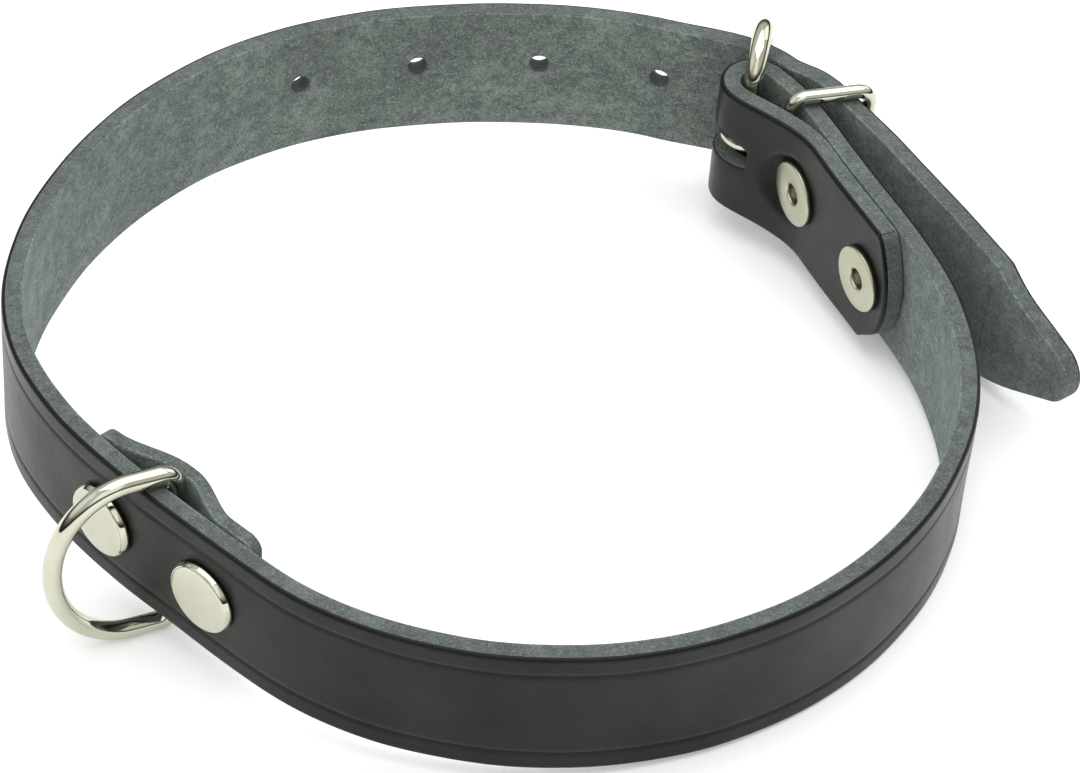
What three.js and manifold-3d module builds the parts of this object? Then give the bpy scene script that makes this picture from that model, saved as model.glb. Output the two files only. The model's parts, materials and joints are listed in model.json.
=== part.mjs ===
// Dog collar: one leather strap buckled into a ring and lying on its lower edge.
// Millimetres, +Z up. The middle line of the strap is drawn in plan as a closed loop, and every
// piece takes its place from a station along that loop and an offset across it. Stations are
// counted clockwise from the buckle's bar, and offsets are positive away from the neck.

import * as THREE from 'three';
import { mergeVertices } from 'three/addons/utils/BufferGeometryUtils.js';
import Module from 'manifold-3d';

const wasm = await Module();
wasm.setup();

// Strap
const NECK_LOOP = 417;        // length of the middle line, once round the neck
const STRAP_WIDTH = 22;
const STRAP_THICKNESS = 3;
const EDGE_BEVEL = 0.5;       // bevel along the strap's edges
const SEAT_GAP = 0.3;         // clearance between pieces that touch
const LAYER_EASE = 19;        // length over which the strap eases on or off the buckle
const START_HEADING = -43.2;  // degrees, direction of the loop at the buckle's bar

// Free end of the strap
const TONGUE_LENGTH = 62;     // from the buckle's bar to the tip
const TONGUE_SPRING = 14.2;   // how far the tip springs away from the body
const POINT_LENGTH = 17;      // tapered stretch at the tip
const POINT_RADIUS = 5;       // round nose of the tip

// Holes
const HOLE_DIAMETER = 3;
const HOLE_SPACING = 19;
const FIRST_HOLE = 19;        // from the buckle's bar to the first free hole
const FREE_HOLES = 4;
const HOLE_RISE = 1.2;        // the row sits a little above mid height

// Folded end that holds the buckle
const FOLD_SLACK = 1.2;       // play of the bar in the fold
const FLAP_LENGTH = 42.8;     // from the buckle's bar to the flap's end
const FLAP_ROUND = 4;         // how far the flap's end bows out
const FLAP_CLOSE = 18.5;      // where the flap meets the strap
const FLAP_FIRST_RIVET = 15.6;
const FLAP_RIVET_SPACING = 19.8;
const SLOT_WIDTH = 4.6;       // slot for the prong
const SLOT_REACH = 4.7;       // slot length past the bar, on each side of the fold

// Buckle
const FRAME_WIRE = 3;
const FRAME_LEG = 19.2;       // straight part of the legs
const FRAME_BOW = 5.6;        // depth of the bows at both ends
const FRAME_LEAN = 6;         // how far the outer leg lies back along the strap
const PRONG_WIRE = 2.4;
const PRONG_PAST = 2.6;       // prong length past the outer leg
const PRONG_OPEN_ANGLE = 84;  // degrees, opening of the prong's loop

// Keeper
const KEEPER_WIRE = 2.2;
const KEEPER_STATION = 8.2;
const KEEPER_SKEW = 3;        // how far the outer leg lies on along the strap
const KEEPER_PLAY = 1.6;      // extra inside height over the strap's width
const KEEPER_CORNER = 2;

// D-ring and its leather patch
const RING_WIRE = 2.8;
const RING_HEIGHT = 28.8;     // wire centre to wire centre
const RING_ARM = 6.4;         // straight arms next to the bar
const RING_BOW = 11.2;        // depth of the round part
const RING_CORNER = 2.4;
const RING_SHARE = 0.5288;    // place on the loop, as a share of its length
const RING_SWING = -24.4;     // degrees from square to the strap, as it lies
const PATCH_SHARE = 0.5269;
const PATCH_THICKNESS = 2;
const PATCH_LENGTH = 31;
const PATCH_BULGE = 7;        // half length of the bulge round the bar
const PATCH_RIVET_SPACING = 19.7;

// Rivets
const CAP_DIAMETER = 11.2;
const CAP_THICKNESS = 1.2;
const FLANGE_DIAMETER = 10.2;
const FLANGE_THICKNESS = 0.6;
const STEM_WALL = 0.5;
const STEM_BORE = 3.2;
const STEM_RECESS = 1.8;      // depth of the open recess in the post
const RIM_ROUND = 0.3;        // softened rims of caps and flanges

// Facets
const WALK_STEPS = 834;
const LOOP_STEP = 3.6;
const FINE_STEP = 2.2;
const FOLD_FACETS = 10;
const WIRE_SIDES = 10;
const ROUND_SEGMENTS = 18;
const FRAME_STEPS = 48;
const RING_STEPS = 56;
const KEEPER_STEPS = 52;
const EYE_STEPS = 16;
const END_SEGMENTS = 8;
const PRONG_STEPS = 30;

// How sharply the loop bends along its length, as a share of an even circle's bend
const BENDS = [
  { share: 0.000, bend: 2.18 },   // at the buckle
  { share: 0.056, bend: -0.34 },  // stiff stretch beside the flap
  { share: 0.116, bend: 1.0 },
  { share: 0.166, bend: 1.38 },   // right-hand side
  { share: 0.236, bend: 1.15 },
  { share: 0.416, bend: 1.11 },
  { share: 0.466, bend: 1.39 },
  { share: 0.506, bend: -0.06 },  // stiff stretch at the ring's patch
  { share: 0.556, bend: 0.67 },
  { share: 0.616, bend: 1.85 },   // left-hand side
  { share: 0.696, bend: 0.95 },
  { share: 0.796, bend: 1.1 },
  { share: 0.896, bend: 0.63 },   // along the row of holes
  { share: 1.000, bend: 2.18 },
];

// How far the free end has sprung away from the loop, along its length
const SPRING = [
  { share: 0.00, out: 0.00 },
  { share: 0.08, out: 0.12 },
  { share: 0.20, out: 0.20 },
  { share: 0.32, out: 0.28 },
  { share: 0.45, out: 0.33 },
  { share: 0.60, out: 0.38 },
  { share: 0.77, out: 0.47 },
  { share: 0.87, out: 0.60 },
  { share: 1.00, out: 1.00 },
];

const upright = new THREE.Vector3(0, 0, 1);
const layer = STRAP_THICKNESS + SEAT_GAP;
const midHeight = STRAP_WIDTH / 2;
const holeHeight = midHeight + HOLE_RISE;
const radians = THREE.MathUtils.degToRad;
const ease = THREE.MathUtils.smoothstep;

// The loop

function bendAt(share) {
  const next = BENDS.findIndex((row, i) => i > 0 && share <= row.share);
  const a = BENDS[next - 1];
  const b = BENDS[next];
  const blend = (1 - Math.cos(Math.PI * (share - a.share) / (b.share - a.share))) / 2;
  return THREE.MathUtils.lerp(a.bend, b.bend, blend);
}

// Walks round the loop in small steps, turning by the bend at each, and closes what is left over.
function walkLoop() {
  const count = WALK_STEPS;
  const bends = Array.from({ length: count }, (_, i) => bendAt((i + 0.5) / count));
  const turn = 2 * Math.PI / bends.reduce((sum, bend) => sum + bend, 0);
  const points = [new THREE.Vector2(0, 0)];
  const headings = [radians(START_HEADING)];
  for (const bend of bends) {
    const heading = headings.at(-1) - bend * turn / 2;
    const step = new THREE.Vector2(Math.cos(heading), Math.sin(heading)).multiplyScalar(NECK_LOOP / count);
    points.push(points.at(-1).clone().add(step));
    headings.push(headings.at(-1) - bend * turn);
  }
  const drift = points.at(-1).clone();
  points.forEach((point, i) => point.addScaledVector(drift, -i / count));
  return { count, points, headings };
}

const loop = walkLoop();

function headingAt(station) {
  const place = THREE.MathUtils.euclideanModulo(station, NECK_LOOP) / NECK_LOOP * loop.count;
  const i = Math.min(Math.floor(place), loop.count - 1);
  return THREE.MathUtils.lerp(loop.headings[i], loop.headings[i + 1], place - i);
}

function outwardAt(station) {
  const heading = headingAt(station);
  return new THREE.Vector2(-Math.sin(heading), Math.cos(heading));
}

function planPoint(station, offset) {
  const place = THREE.MathUtils.euclideanModulo(station, NECK_LOOP) / NECK_LOOP * loop.count;
  const i = Math.min(Math.floor(place), loop.count - 1);
  const middle = loop.points[i].clone().lerp(loop.points[i + 1], place - i);
  return middle.addScaledVector(outwardAt(station), offset);
}

// Offsets of the strap's layers from the loop

const approachOffset = (station) => layer * ease(station, -LAYER_EASE, 0);

// Smooth curve through the rows of the spring table
function springAt(share) {
  const next = Math.max(1, SPRING.findIndex((row) => share <= row.share));
  const slope = (i) => {
    const before = SPRING[Math.max(i - 1, 0)];
    const after = SPRING[Math.min(i + 1, SPRING.length - 1)];
    return (after.out - before.out) / (after.share - before.share);
  };
  const a = SPRING[next - 1];
  const b = SPRING[next];
  const span = b.share - a.share;
  const u = (share - a.share) / span;
  const startSlope = next === 1 ? 0 : slope(next - 1);
  return a.out * (1 + 2 * u) * (1 - u) ** 2 + startSlope * span * u * (1 - u) ** 2
    + b.out * u * u * (3 - 2 * u) + slope(next) * span * u * u * (u - 1);
}

const tongueOffset = (station) => layer + TONGUE_SPRING * springAt(station / TONGUE_LENGTH);

// The flap lies close to the body past the bar and the keeper
const flapAtBar = -(STRAP_THICKNESS + FRAME_WIRE + 2 * SEAT_GAP + FOLD_SLACK);
const flapOffset = (station) => THREE.MathUtils.lerp(flapAtBar, -layer, ease(station, 0, FLAP_CLOSE));

// Places of the hardware on the loop

const frameReach = STRAP_THICKNESS / 2 + SEAT_GAP + FRAME_WIRE / 2;
const bar = planPoint(0, -frameReach - FOLD_SLACK);
const outerLeg = planPoint(-FRAME_LEAN, approachOffset(-FRAME_LEAN) + frameReach);
const ringStation = NECK_LOOP * RING_SHARE;
const ringBarOffset = -(STRAP_THICKNESS / 2 + SEAT_GAP + RING_WIRE / 2);
const ringBar = planPoint(ringStation, ringBarOffset);
const flapRivets = [FLAP_FIRST_RIVET, FLAP_FIRST_RIVET + FLAP_RIVET_SPACING];
const freeHoles = Array.from({ length: FREE_HOLES }, (_, i) => -(FIRST_HOLE + i * HOLE_SPACING));
const patchStation = NECK_LOOP * PATCH_SHARE;
const patchRivets = [-1, 1].map((side) => patchStation + side * PATCH_RIVET_SPACING / 2);
const stemHole = STEM_BORE / 2 + STEM_WALL + SEAT_GAP;
const flangeSeat = FLANGE_DIAMETER / 2 + SEAT_GAP;

// Closed solids

function solidOf(geometry) {
  const bare = geometry.index ? geometry.toNonIndexed() : geometry.clone();
  bare.deleteAttribute('normal');
  bare.deleteAttribute('uv');
  const merged = mergeVertices(bare, 1e-4);
  return new wasm.Manifold(new wasm.Mesh({
    numProp: 3,
    vertProperties: merged.attributes.position.array,
    triVerts: Uint32Array.from(merged.index.array),
  }));
}

function geometryOf(solid) {
  const { vertProperties, triVerts } = solid.getMesh();
  const geometry = new THREE.BufferGeometry();
  geometry.setAttribute('position', new THREE.BufferAttribute(vertProperties, 3));
  geometry.setIndex(new THREE.BufferAttribute(triVerts, 1));
  const faceted = geometry.toNonIndexed();
  faceted.computeVertexNormals();
  return faceted;
}

// Outline in plan of a strip of leather of the given thickness along a row of points
function stripShape(points, thickness) {
  const sides = points.map((point, i) => {
    const before = points[Math.max(i - 1, 0)];
    const after = points[Math.min(i + 1, points.length - 1)];
    const along = after.clone().sub(before).normalize();
    return new THREE.Vector2(-along.y, along.x).multiplyScalar(thickness / 2);
  });
  const outer = points.map((point, i) => point.clone().add(sides[i]));
  const inner = points.map((point, i) => point.clone().sub(sides[i]));
  return new THREE.Shape([...inner, ...outer.reverse()]);
}

// Leather strip standing on its lower edge at height 0, with bevelled edges
function standingStrip(points, thickness) {
  return new THREE.ExtrudeGeometry(stripShape(points, thickness), {
    depth: STRAP_WIDTH - 2 * EDGE_BEVEL,
    steps: 1,
    bevelEnabled: true,
    bevelThickness: EDGE_BEVEL,
    bevelSize: EDGE_BEVEL,
    bevelOffset: -EDGE_BEVEL,
    bevelSegments: 1,
  }).translate(0, 0, EDGE_BEVEL);
}

// Stations from one place to another with an even step
function stations(from, to, step) {
  const count = Math.max(1, Math.round(Math.abs(to - from) / step));
  return Array.from({ length: count + 1 }, (_, i) => THREE.MathUtils.lerp(from, to, i / count));
}

// Block standing on a band of the plan, between two stations, two offsets and two heights
function bandBlock(from, to, inner, outer, low, high) {
  const along = stations(from, to, FINE_STEP);
  const shape = new THREE.Shape([
    ...along.map((station) => planPoint(station, inner)),
    ...along.map((station) => planPoint(station, outer)).reverse(),
  ]);
  return new THREE.ExtrudeGeometry(shape, { depth: high - low, bevelEnabled: false }).translate(0, 0, low);
}

// Pose with local Y pointing outward across the strap at a station, and local X along it
function acrossStrap(station, offset, height) {
  const outward = outwardAt(station);
  const place = planPoint(station, offset);
  const y = new THREE.Vector3(outward.x, outward.y, 0);
  const x = y.clone().cross(upright);
  return new THREE.Matrix4().makeBasis(x, y, upright).setPosition(place.x, place.y, height);
}

// Cylinder across the strap between two depths below the offset given
function boreCutter(station, offset, height, radius, from, to) {
  return new THREE.CylinderGeometry(radius, radius, to - from, ROUND_SEGMENTS)
    .translate(0, (from + to) / 2, 0)
    .applyMatrix4(acrossStrap(station, offset, height));
}

// Strap

const foldCentre = planPoint(0, flapAtBar / 2);
const foldRadius = -flapAtBar / 2;

function strapPath() {
  const flap = stations(FLAP_LENGTH, 0, FINE_STEP).map((s) => planPoint(s, flapOffset(s)));
  const inward = outwardAt(0).multiplyScalar(-foldRadius);
  const fold = stations(0, Math.PI, Math.PI / FOLD_FACETS).slice(1, -1)
    .map((angle) => inward.clone().rotateAround(new THREE.Vector2(), -angle).add(foldCentre));
  const body = [
    ...stations(0, FLAP_LENGTH, FINE_STEP),
    ...stations(FLAP_LENGTH, NECK_LOOP - LAYER_EASE, LOOP_STEP).slice(1),
  ].map((s) => planPoint(s, 0));
  const approach = stations(-LAYER_EASE, 0, FINE_STEP).slice(1).map((s) => planPoint(s, approachOffset(s)));
  const tongue = stations(0, TONGUE_LENGTH, FINE_STEP).slice(1).map((s) => planPoint(s, tongueOffset(s)));
  return [...flap, ...fold, ...body, ...approach, ...tongue];
}

// What is cut away from a square end to round it: all beyond an arc of the given radius whose
// middle is at 0, up to an angle on each side, and beyond straight lines from there to the edges.
// X runs along the strap and Y up from mid height.
function beyondArc(radius, angle, length) {
  const shape = new THREE.Shape();
  shape.moveTo(-length, -STRAP_WIDTH / 2);
  shape.absarc(-radius, 0, radius, -angle, angle, false);
  shape.lineTo(-length, STRAP_WIDTH / 2);
  shape.lineTo(-length, STRAP_WIDTH);
  shape.lineTo(length, STRAP_WIDTH);
  shape.lineTo(length, -STRAP_WIDTH);
  shape.lineTo(-length, -STRAP_WIDTH);
  return shape;
}

// Straight taper to a round nose
function beyondPoint() {
  const half = STRAP_WIDTH / 2;
  const taper = POINT_LENGTH - POINT_RADIUS;
  const lean = Math.atan2(half, taper) - Math.asin(POINT_RADIUS / Math.hypot(taper, half));
  return beyondArc(POINT_RADIUS, Math.PI / 2 - lean, POINT_LENGTH);
}

// Shallow bow
function beyondBow() {
  const half = STRAP_WIDTH / 2;
  const radius = (half * half + FLAP_ROUND * FLAP_ROUND) / (2 * FLAP_ROUND);
  return beyondArc(radius, Math.asin(half / radius), FLAP_ROUND);
}

// Outline as a cutter through a layer that ends at a place with a heading
function endCutter(shape, end, heading, inner, outer) {
  const along = new THREE.Vector3(Math.cos(heading), Math.sin(heading), 0);
  const inward = along.clone().cross(upright);
  const plate = { depth: outer - inner, bevelEnabled: false, curveSegments: END_SEGMENTS };
  return new THREE.ExtrudeGeometry(shape, plate)
    .translate(0, 0, -outer)
    .applyMatrix4(new THREE.Matrix4().makeBasis(along, upright, inward).setPosition(end.x, end.y, midHeight));
}

// Slot for the prong's eye: through the fold, and on along the flap and the body
function slotCutters() {
  const top = holeHeight + PRONG_WIRE / 2 + SEAT_GAP;
  const low = top - SLOT_WIDTH;
  const radius = foldRadius + layer / 2;
  const fold = new THREE.CylinderGeometry(radius, radius, SLOT_WIDTH, ROUND_SEGMENTS)
    .rotateX(Math.PI / 2)
    .translate(foldCentre.x, foldCentre.y, (low + top) / 2);
  return [fold, bandBlock(0, SLOT_REACH, flapAtBar - layer, layer / 2, low, top)];
}

function makeStrap() {
  const path = strapPath();
  const face = STRAP_THICKNESS / 2;
  const stack = STRAP_THICKNESS + layer;
  const taperStart = TONGUE_LENGTH - POINT_LENGTH;
  const tipHeading = headingOf(planPoint(taperStart, tongueOffset(taperStart)), path.at(-1));
  const flapHeading = headingOf(path[2], path[0]);
  const cutters = [
    ...slotCutters(),
    shankCutter(),
    ...freeHoles.map((s) =>
      boreCutter(s, 0, holeHeight, HOLE_DIAMETER / 2, -STRAP_THICKNESS, STRAP_THICKNESS)),
    ...flapRivets.flatMap((s) => [
      boreCutter(s, face, midHeight, stemHole, -2 * stack, layer / 2),
      boreCutter(s, face, midHeight, flangeSeat, -2 * stack, -stack),
    ]),
    ...patchRivets.map((s) => boreCutter(s, 0, midHeight, stemHole, -STRAP_THICKNESS, STRAP_THICKNESS)),
    endCutter(beyondPoint(), path.at(-1), tipHeading, -1.5 * layer, layer),
    endCutter(beyondBow(), path[0], flapHeading, -layer, layer / 2),
  ];
  return cutters.reduce((solid, cutter) => solid.subtract(solidOf(cutter)),
    solidOf(standingStrip(path, STRAP_THICKNESS)));
}

function headingOf(from, to) {
  return Math.atan2(to.y - from.y, to.x - from.x);
}

// Wire hardware

// Closed flat outline, with X across and Y up, stood up as a curve whose two ends meet exactly
class StandingLoop extends THREE.Curve {
  constructor(outline) {
    super();
    this.outline = outline;
  }

  getPoint(t, target = new THREE.Vector3()) {
    const flat = this.outline.getPoint(THREE.MathUtils.euclideanModulo(t, 1));
    return target.set(flat.x, 0, flat.y);
  }

  getTangent(t, target = new THREE.Vector3()) {
    const place = THREE.MathUtils.euclideanModulo(t, 1);
    const step = 1e-4;
    return target.copy(this.getPoint(place + step)).sub(this.getPoint(place - step)).normalize();
  }
}

const roundSection = (diameter) => new THREE.Shape().absarc(0, 0, diameter / 2, 0, 2 * Math.PI, false);

// Round wire bent round a closed outline: the sides of a tube, whose last ring is its first
function wireLoop(outline, diameter, steps) {
  const tube = new THREE.ExtrudeGeometry(roundSection(diameter), {
    extrudePath: new StandingLoop(outline),
    steps,
    curveSegments: WIRE_SIDES / 2,
  });
  const sides = tube.groups.find((group) => group.materialIndex === 1);
  const position = tube.attributes.position.array.slice(sides.start * 3, (sides.start + sides.count) * 3);
  return new THREE.BufferGeometry().setAttribute('position', new THREE.BufferAttribute(position, 3));
}

// Pose with local X pointing in plan from one place to another, and Z up
function facing(from, to) {
  const angle = headingOf(from, to);
  return new THREE.Matrix4().makeRotationZ(angle).setPosition(from.x, from.y, 0);
}

function makeFrame() {
  const across = bar.distanceTo(outerLeg);
  const low = midHeight - FRAME_LEG / 2;
  const high = midHeight + FRAME_LEG / 2;
  const outline = new THREE.Path();
  outline.moveTo(0, low);
  outline.lineTo(0, high);
  outline.absellipse(across / 2, high, across / 2, FRAME_BOW, Math.PI, 0, true);
  outline.lineTo(across, low);
  outline.absellipse(across / 2, low, across / 2, FRAME_BOW, 0, -Math.PI, true);
  return solidOf(wireLoop(outline, FRAME_WIRE, FRAME_STEPS).applyMatrix4(facing(bar, outerLeg)));
}

function keeperLegs() {
  const reach = STRAP_THICKNESS / 2 + SEAT_GAP + KEEPER_WIRE / 2;
  const far = KEEPER_STATION + KEEPER_SKEW;
  return [planPoint(KEEPER_STATION, -reach), planPoint(far, tongueOffset(far) + reach)];
}

function makeKeeper() {
  const [inner, outer] = keeperLegs();
  const across = inner.distanceTo(outer);
  const high = STRAP_WIDTH + SEAT_GAP + KEEPER_WIRE / 2;
  const low = high - KEEPER_WIRE - STRAP_WIDTH - KEEPER_PLAY;
  return solidOf(wireLoop(roundedBox(0, across, low, high, KEEPER_CORNER), KEEPER_WIRE, KEEPER_STEPS)
    .applyMatrix4(facing(inner, outer)));
}

function roundedBox(left, right, low, high, radius) {
  const outline = new THREE.Path();
  outline.moveTo(left, low + radius);
  outline.lineTo(left, high - radius);
  outline.absarc(left + radius, high - radius, radius, Math.PI, Math.PI / 2, true);
  outline.lineTo(right - radius, high);
  outline.absarc(right - radius, high - radius, radius, Math.PI / 2, 0, true);
  outline.lineTo(right, low + radius);
  outline.absarc(right - radius, low + radius, radius, 0, -Math.PI / 2, true);
  outline.lineTo(left + radius, low);
  outline.absarc(left + radius, low + radius, radius, -Math.PI / 2, -Math.PI, true);
  return outline;
}

// Unit directions at the buckle: from the bar towards the outer leg, and along the strap
function prongDirections() {
  const out = outerLeg.clone().sub(bar).normalize();
  return { out, along: new THREE.Vector2(out.y, -out.x) };
}

const prongRadius = FRAME_WIRE / 2 + SEAT_GAP + PRONG_WIRE / 2;
const shankLength = bar.distanceTo(outerLeg) + FRAME_WIRE / 2 + PRONG_PAST;

// Point of the plan given by distances from the bar, towards the outer leg and along the strap
function besideBar(outwards, along) {
  const directions = prongDirections();
  return bar.clone().addScaledVector(directions.out, outwards).addScaledVector(directions.along, along);
}

function shankCutter() {
  const from = besideBar(prongRadius, prongRadius);
  const to = besideBar(shankLength, prongRadius);
  const across = new THREE.LineCurve3(
    new THREE.Vector3(from.x, from.y, holeHeight),
    new THREE.Vector3(to.x, to.y, holeHeight),
  );
  return new THREE.ExtrudeGeometry(roundSection(HOLE_DIAMETER), {
    extrudePath: across,
    steps: 1,
    curveSegments: ROUND_SEGMENTS / 2,
  });
}

function makeProng() {
  const points = [];
  const around = 2 * Math.PI - radians(PRONG_OPEN_ANGLE);
  for (const angle of stations(around, 0, around / EYE_STEPS)) {
    points.push(besideBar(-prongRadius * Math.sin(angle), prongRadius * Math.cos(angle)));
  }
  for (const outwards of stations(0, shankLength, FINE_STEP).slice(1)) {
    points.push(besideBar(outwards, prongRadius));
  }
  const path = new THREE.CatmullRomCurve3(points.map((p) => new THREE.Vector3(p.x, p.y, holeHeight)));
  const wire = new THREE.ExtrudeGeometry(roundSection(PRONG_WIRE), {
    extrudePath: path,
    steps: PRONG_STEPS,
    curveSegments: WIRE_SIDES / 2,
  });
  const tip = points.at(-1);
  const nose = new THREE.SphereGeometry(PRONG_WIRE / 2, WIRE_SIDES, 6).translate(tip.x, tip.y, holeHeight);
  return solidOf(wire).add(solidOf(nose));
}

// The D-ring hangs with its upper arm on the strap's upper edge
const ringHigh = STRAP_WIDTH + SEAT_GAP + RING_WIRE / 2;
const ringLow = ringHigh - RING_HEIGHT;

// Drawn about its bar: X runs outward from the bar and Z up
function makeRing() {
  const low = ringLow;
  const high = ringHigh;
  const middle = (low + high) / 2;
  const outline = new THREE.Path();
  outline.moveTo(0, low + RING_CORNER);
  outline.lineTo(0, high - RING_CORNER);
  outline.absarc(RING_CORNER, high - RING_CORNER, RING_CORNER, Math.PI, Math.PI / 2, true);
  outline.lineTo(RING_ARM, high);
  outline.absellipse(RING_ARM, middle, RING_BOW, (high - low) / 2, Math.PI / 2, -Math.PI / 2, true);
  outline.lineTo(RING_CORNER, low);
  outline.absarc(RING_CORNER, low + RING_CORNER, RING_CORNER, -Math.PI / 2, -Math.PI, true);
  return wireLoop(outline, RING_WIRE, RING_STEPS);
}

// Leather patch behind the strap, bulging round the ring's bar
function makePatch() {
  const rest = -(STRAP_THICKNESS / 2 + SEAT_GAP + PATCH_THICKNESS / 2);
  const bulge = rest - RING_WIRE - SEAT_GAP;
  const from = patchStation - PATCH_LENGTH / 2;
  const path = stations(from, from + PATCH_LENGTH, FINE_STEP / 2).map((station) => {
    const share = 1 - ease(Math.abs(station - ringStation), RING_WIRE / 4, PATCH_BULGE);
    return planPoint(station, THREE.MathUtils.lerp(rest, bulge, share));
  });
  const face = rest - PATCH_THICKNESS / 2;
  const cutters = patchRivets.flatMap((s) => [
    boreCutter(s, 0, midHeight, stemHole, face - 2 * layer, 0),
    boreCutter(s, 0, midHeight, flangeSeat, face - 2 * layer, face),
  ]);
  return cutters.reduce((solid, cutter) => solid.subtract(solidOf(cutter)),
    solidOf(standingStrip(path, PATCH_THICKNESS)));
}

// Rivets, turned about Y, which points outward; Y is 0 on the strap's outer face

// Solid turned from rows of radius and height
const turned = (profile) =>
  new THREE.LatheGeometry(profile.map(([radius, height]) => new THREE.Vector2(radius, height)), ROUND_SEGMENTS);

function rivetCap(stack) {
  const radius = CAP_DIAMETER / 2;
  const pin = STEM_BORE / 2 - SEAT_GAP;
  const pinEnd = -(stack + SEAT_GAP + FLANGE_THICKNESS - STEM_RECESS);
  const crown = SEAT_GAP + CAP_THICKNESS;
  return turned([
    [0, pinEnd], [pin, pinEnd], [pin, SEAT_GAP], [radius - RIM_ROUND, SEAT_GAP], [radius, SEAT_GAP + RIM_ROUND],
    [radius - 2 * RIM_ROUND, crown - RIM_ROUND], [radius / 2, crown], [0, crown],
  ]);
}

function rivetPost(stack) {
  const radius = FLANGE_DIAMETER / 2;
  const bore = STEM_BORE / 2;
  const stem = bore + STEM_WALL;
  const under = -(stack + SEAT_GAP);
  const face = under - FLANGE_THICKNESS;
  return turned([
    [bore, 0], [bore, face], [radius - RIM_ROUND, face], [radius, face + RIM_ROUND], [radius, under],
    [stem, under], [stem, 0], [bore, 0],
  ]);
}

// Materials

const material = (name, color, roughness, metalness) =>
  new THREE.MeshStandardMaterial({ name, color, roughness, metalness });
const leather = material('leather', 0x2b2c2d, 0.6, 0);
const suede = material('suede', 0x4c5654, 0.95, 0);
const nickel = material('nickel', 0xd8d6cc, 0.2, 1);

// Scene graph

const collar = new THREE.Group();

function addPiece(parent, name, geometry, finish) {
  const mesh = new THREE.Mesh(geometry, finish);
  mesh.name = name;
  parent.add(mesh);
  return mesh;
}

function addRivet(name, station, stack) {
  const pose = acrossStrap(station, STRAP_THICKNESS / 2, midHeight);
  for (const [part, make] of [['cap', rivetCap], ['post', rivetPost]]) {
    addPiece(collar, `${name}_${part}`, geometryOf(solidOf(make(stack))), nickel).applyMatrix4(pose);
  }
}

addPiece(collar, 'strap', geometryOf(makeStrap()), leather);
addPiece(collar, 'ring_patch', geometryOf(makePatch()), suede);
addPiece(collar, 'buckle_frame', geometryOf(makeFrame()), nickel);
addPiece(collar, 'buckle_prong', geometryOf(makeProng()), nickel);
addPiece(collar, 'keeper', geometryOf(makeKeeper()), nickel);
flapRivets.forEach((station, i) => addRivet(`flap_rivet_${i + 1}`, station, STRAP_THICKNESS + layer));
patchRivets.forEach((station, i) => addRivet(`patch_rivet_${i + 1}`, station,
  STRAP_THICKNESS + SEAT_GAP + PATCH_THICKNESS));

const ringHinge = new THREE.Group();
ringHinge.position.set(ringBar.x, ringBar.y, 0);
const ringOutward = outwardAt(ringStation);
ringHinge.rotation.z = Math.atan2(ringOutward.y, ringOutward.x) + radians(RING_SWING);
addPiece(ringHinge, 'd_ring', geometryOf(solidOf(makeRing())), nickel);
collar.add(ringHinge);

// The collar lies on three feet: the frame's lower bow, the ring's lower arm, and the first point
// of the strap's lower edge to come down when the collar tips about the line between those two.
function restingUp() {
  const buckleFoot = bar.clone().lerp(outerLeg, 0.5);
  const frameFoot = new THREE.Vector3(buckleFoot.x, buckleFoot.y,
    midHeight - FRAME_LEG / 2 - FRAME_BOW - FRAME_WIRE / 2);
  const ringFoot = new THREE.Vector3(RING_ARM, 0, ringLow - RING_WIRE / 2)
    .applyEuler(ringHinge.rotation)
    .add(ringHinge.position);
  const line = ringFoot.clone().sub(frameFoot);
  const along = new THREE.Vector2(line.x, line.y);
  const edge = stations(0, NECK_LOOP / 2, LOOP_STEP).map((s) => planPoint(s, STRAP_THICKNESS / 2 - EDGE_BEVEL));
  const slopes = edge.map((point) => {
    const beside = point.clone().sub(buckleFoot);
    const height = -frameFoot.z - line.z * beside.dot(along) / along.lengthSq();
    return height * along.length() / Math.abs(beside.cross(along));
  });
  const foot = edge[slopes.indexOf(Math.min(...slopes))];
  const up = line.cross(new THREE.Vector3(foot.x, foot.y, 0).sub(frameFoot)).normalize();
  return up.z > 0 ? up : up.negate();
}

collar.quaternion.setFromUnitVectors(restingUp(), upright);

// Origin on the surface, below the middle of the collar
const box = new THREE.Box3().setFromObject(collar, true);
const middle = box.getCenter(new THREE.Vector3());
collar.position.set(-middle.x, -middle.y, -box.min.z);

const dogCollar = new THREE.Group();
dogCollar.add(collar);

export default dogCollar;
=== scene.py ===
"""Looks of a black leather dog collar that lies buckled on its lower edge.

The file is laid out as an add-on: sizes and colours are properties, and each piece or group of like
pieces is made by an operator. Lengths are in metres. Pieces are drawn in the collar's own frame, whose
origin is at the buckle's bar with Z up along the bar, and are then turned into the pose in which the
collar rests. Stations run clockwise round the collar from the bar, and offsets are positive away from
the neck.
"""

import json
import math

import bmesh
import bpy
import numpy as np
from bpy.props import FloatProperty, FloatVectorProperty, IntProperty, PointerProperty
from mathutils import Matrix, Vector


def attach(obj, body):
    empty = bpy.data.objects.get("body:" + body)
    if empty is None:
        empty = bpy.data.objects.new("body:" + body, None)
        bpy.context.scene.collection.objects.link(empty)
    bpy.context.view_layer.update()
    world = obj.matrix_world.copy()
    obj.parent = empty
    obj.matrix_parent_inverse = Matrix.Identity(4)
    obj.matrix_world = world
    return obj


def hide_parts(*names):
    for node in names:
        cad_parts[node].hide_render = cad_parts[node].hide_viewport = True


bl_info = {
    "name": "Buckled Leather Collar",
    "version": (1, 0, 0),
    "blender": (4, 5, 0),
    "location": "3D View > Sidebar > Collar",
    "description": "Leather strap, wire buckle, keeper, rivets and D-ring of a dog collar",
    "category": "Object",
}

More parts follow.
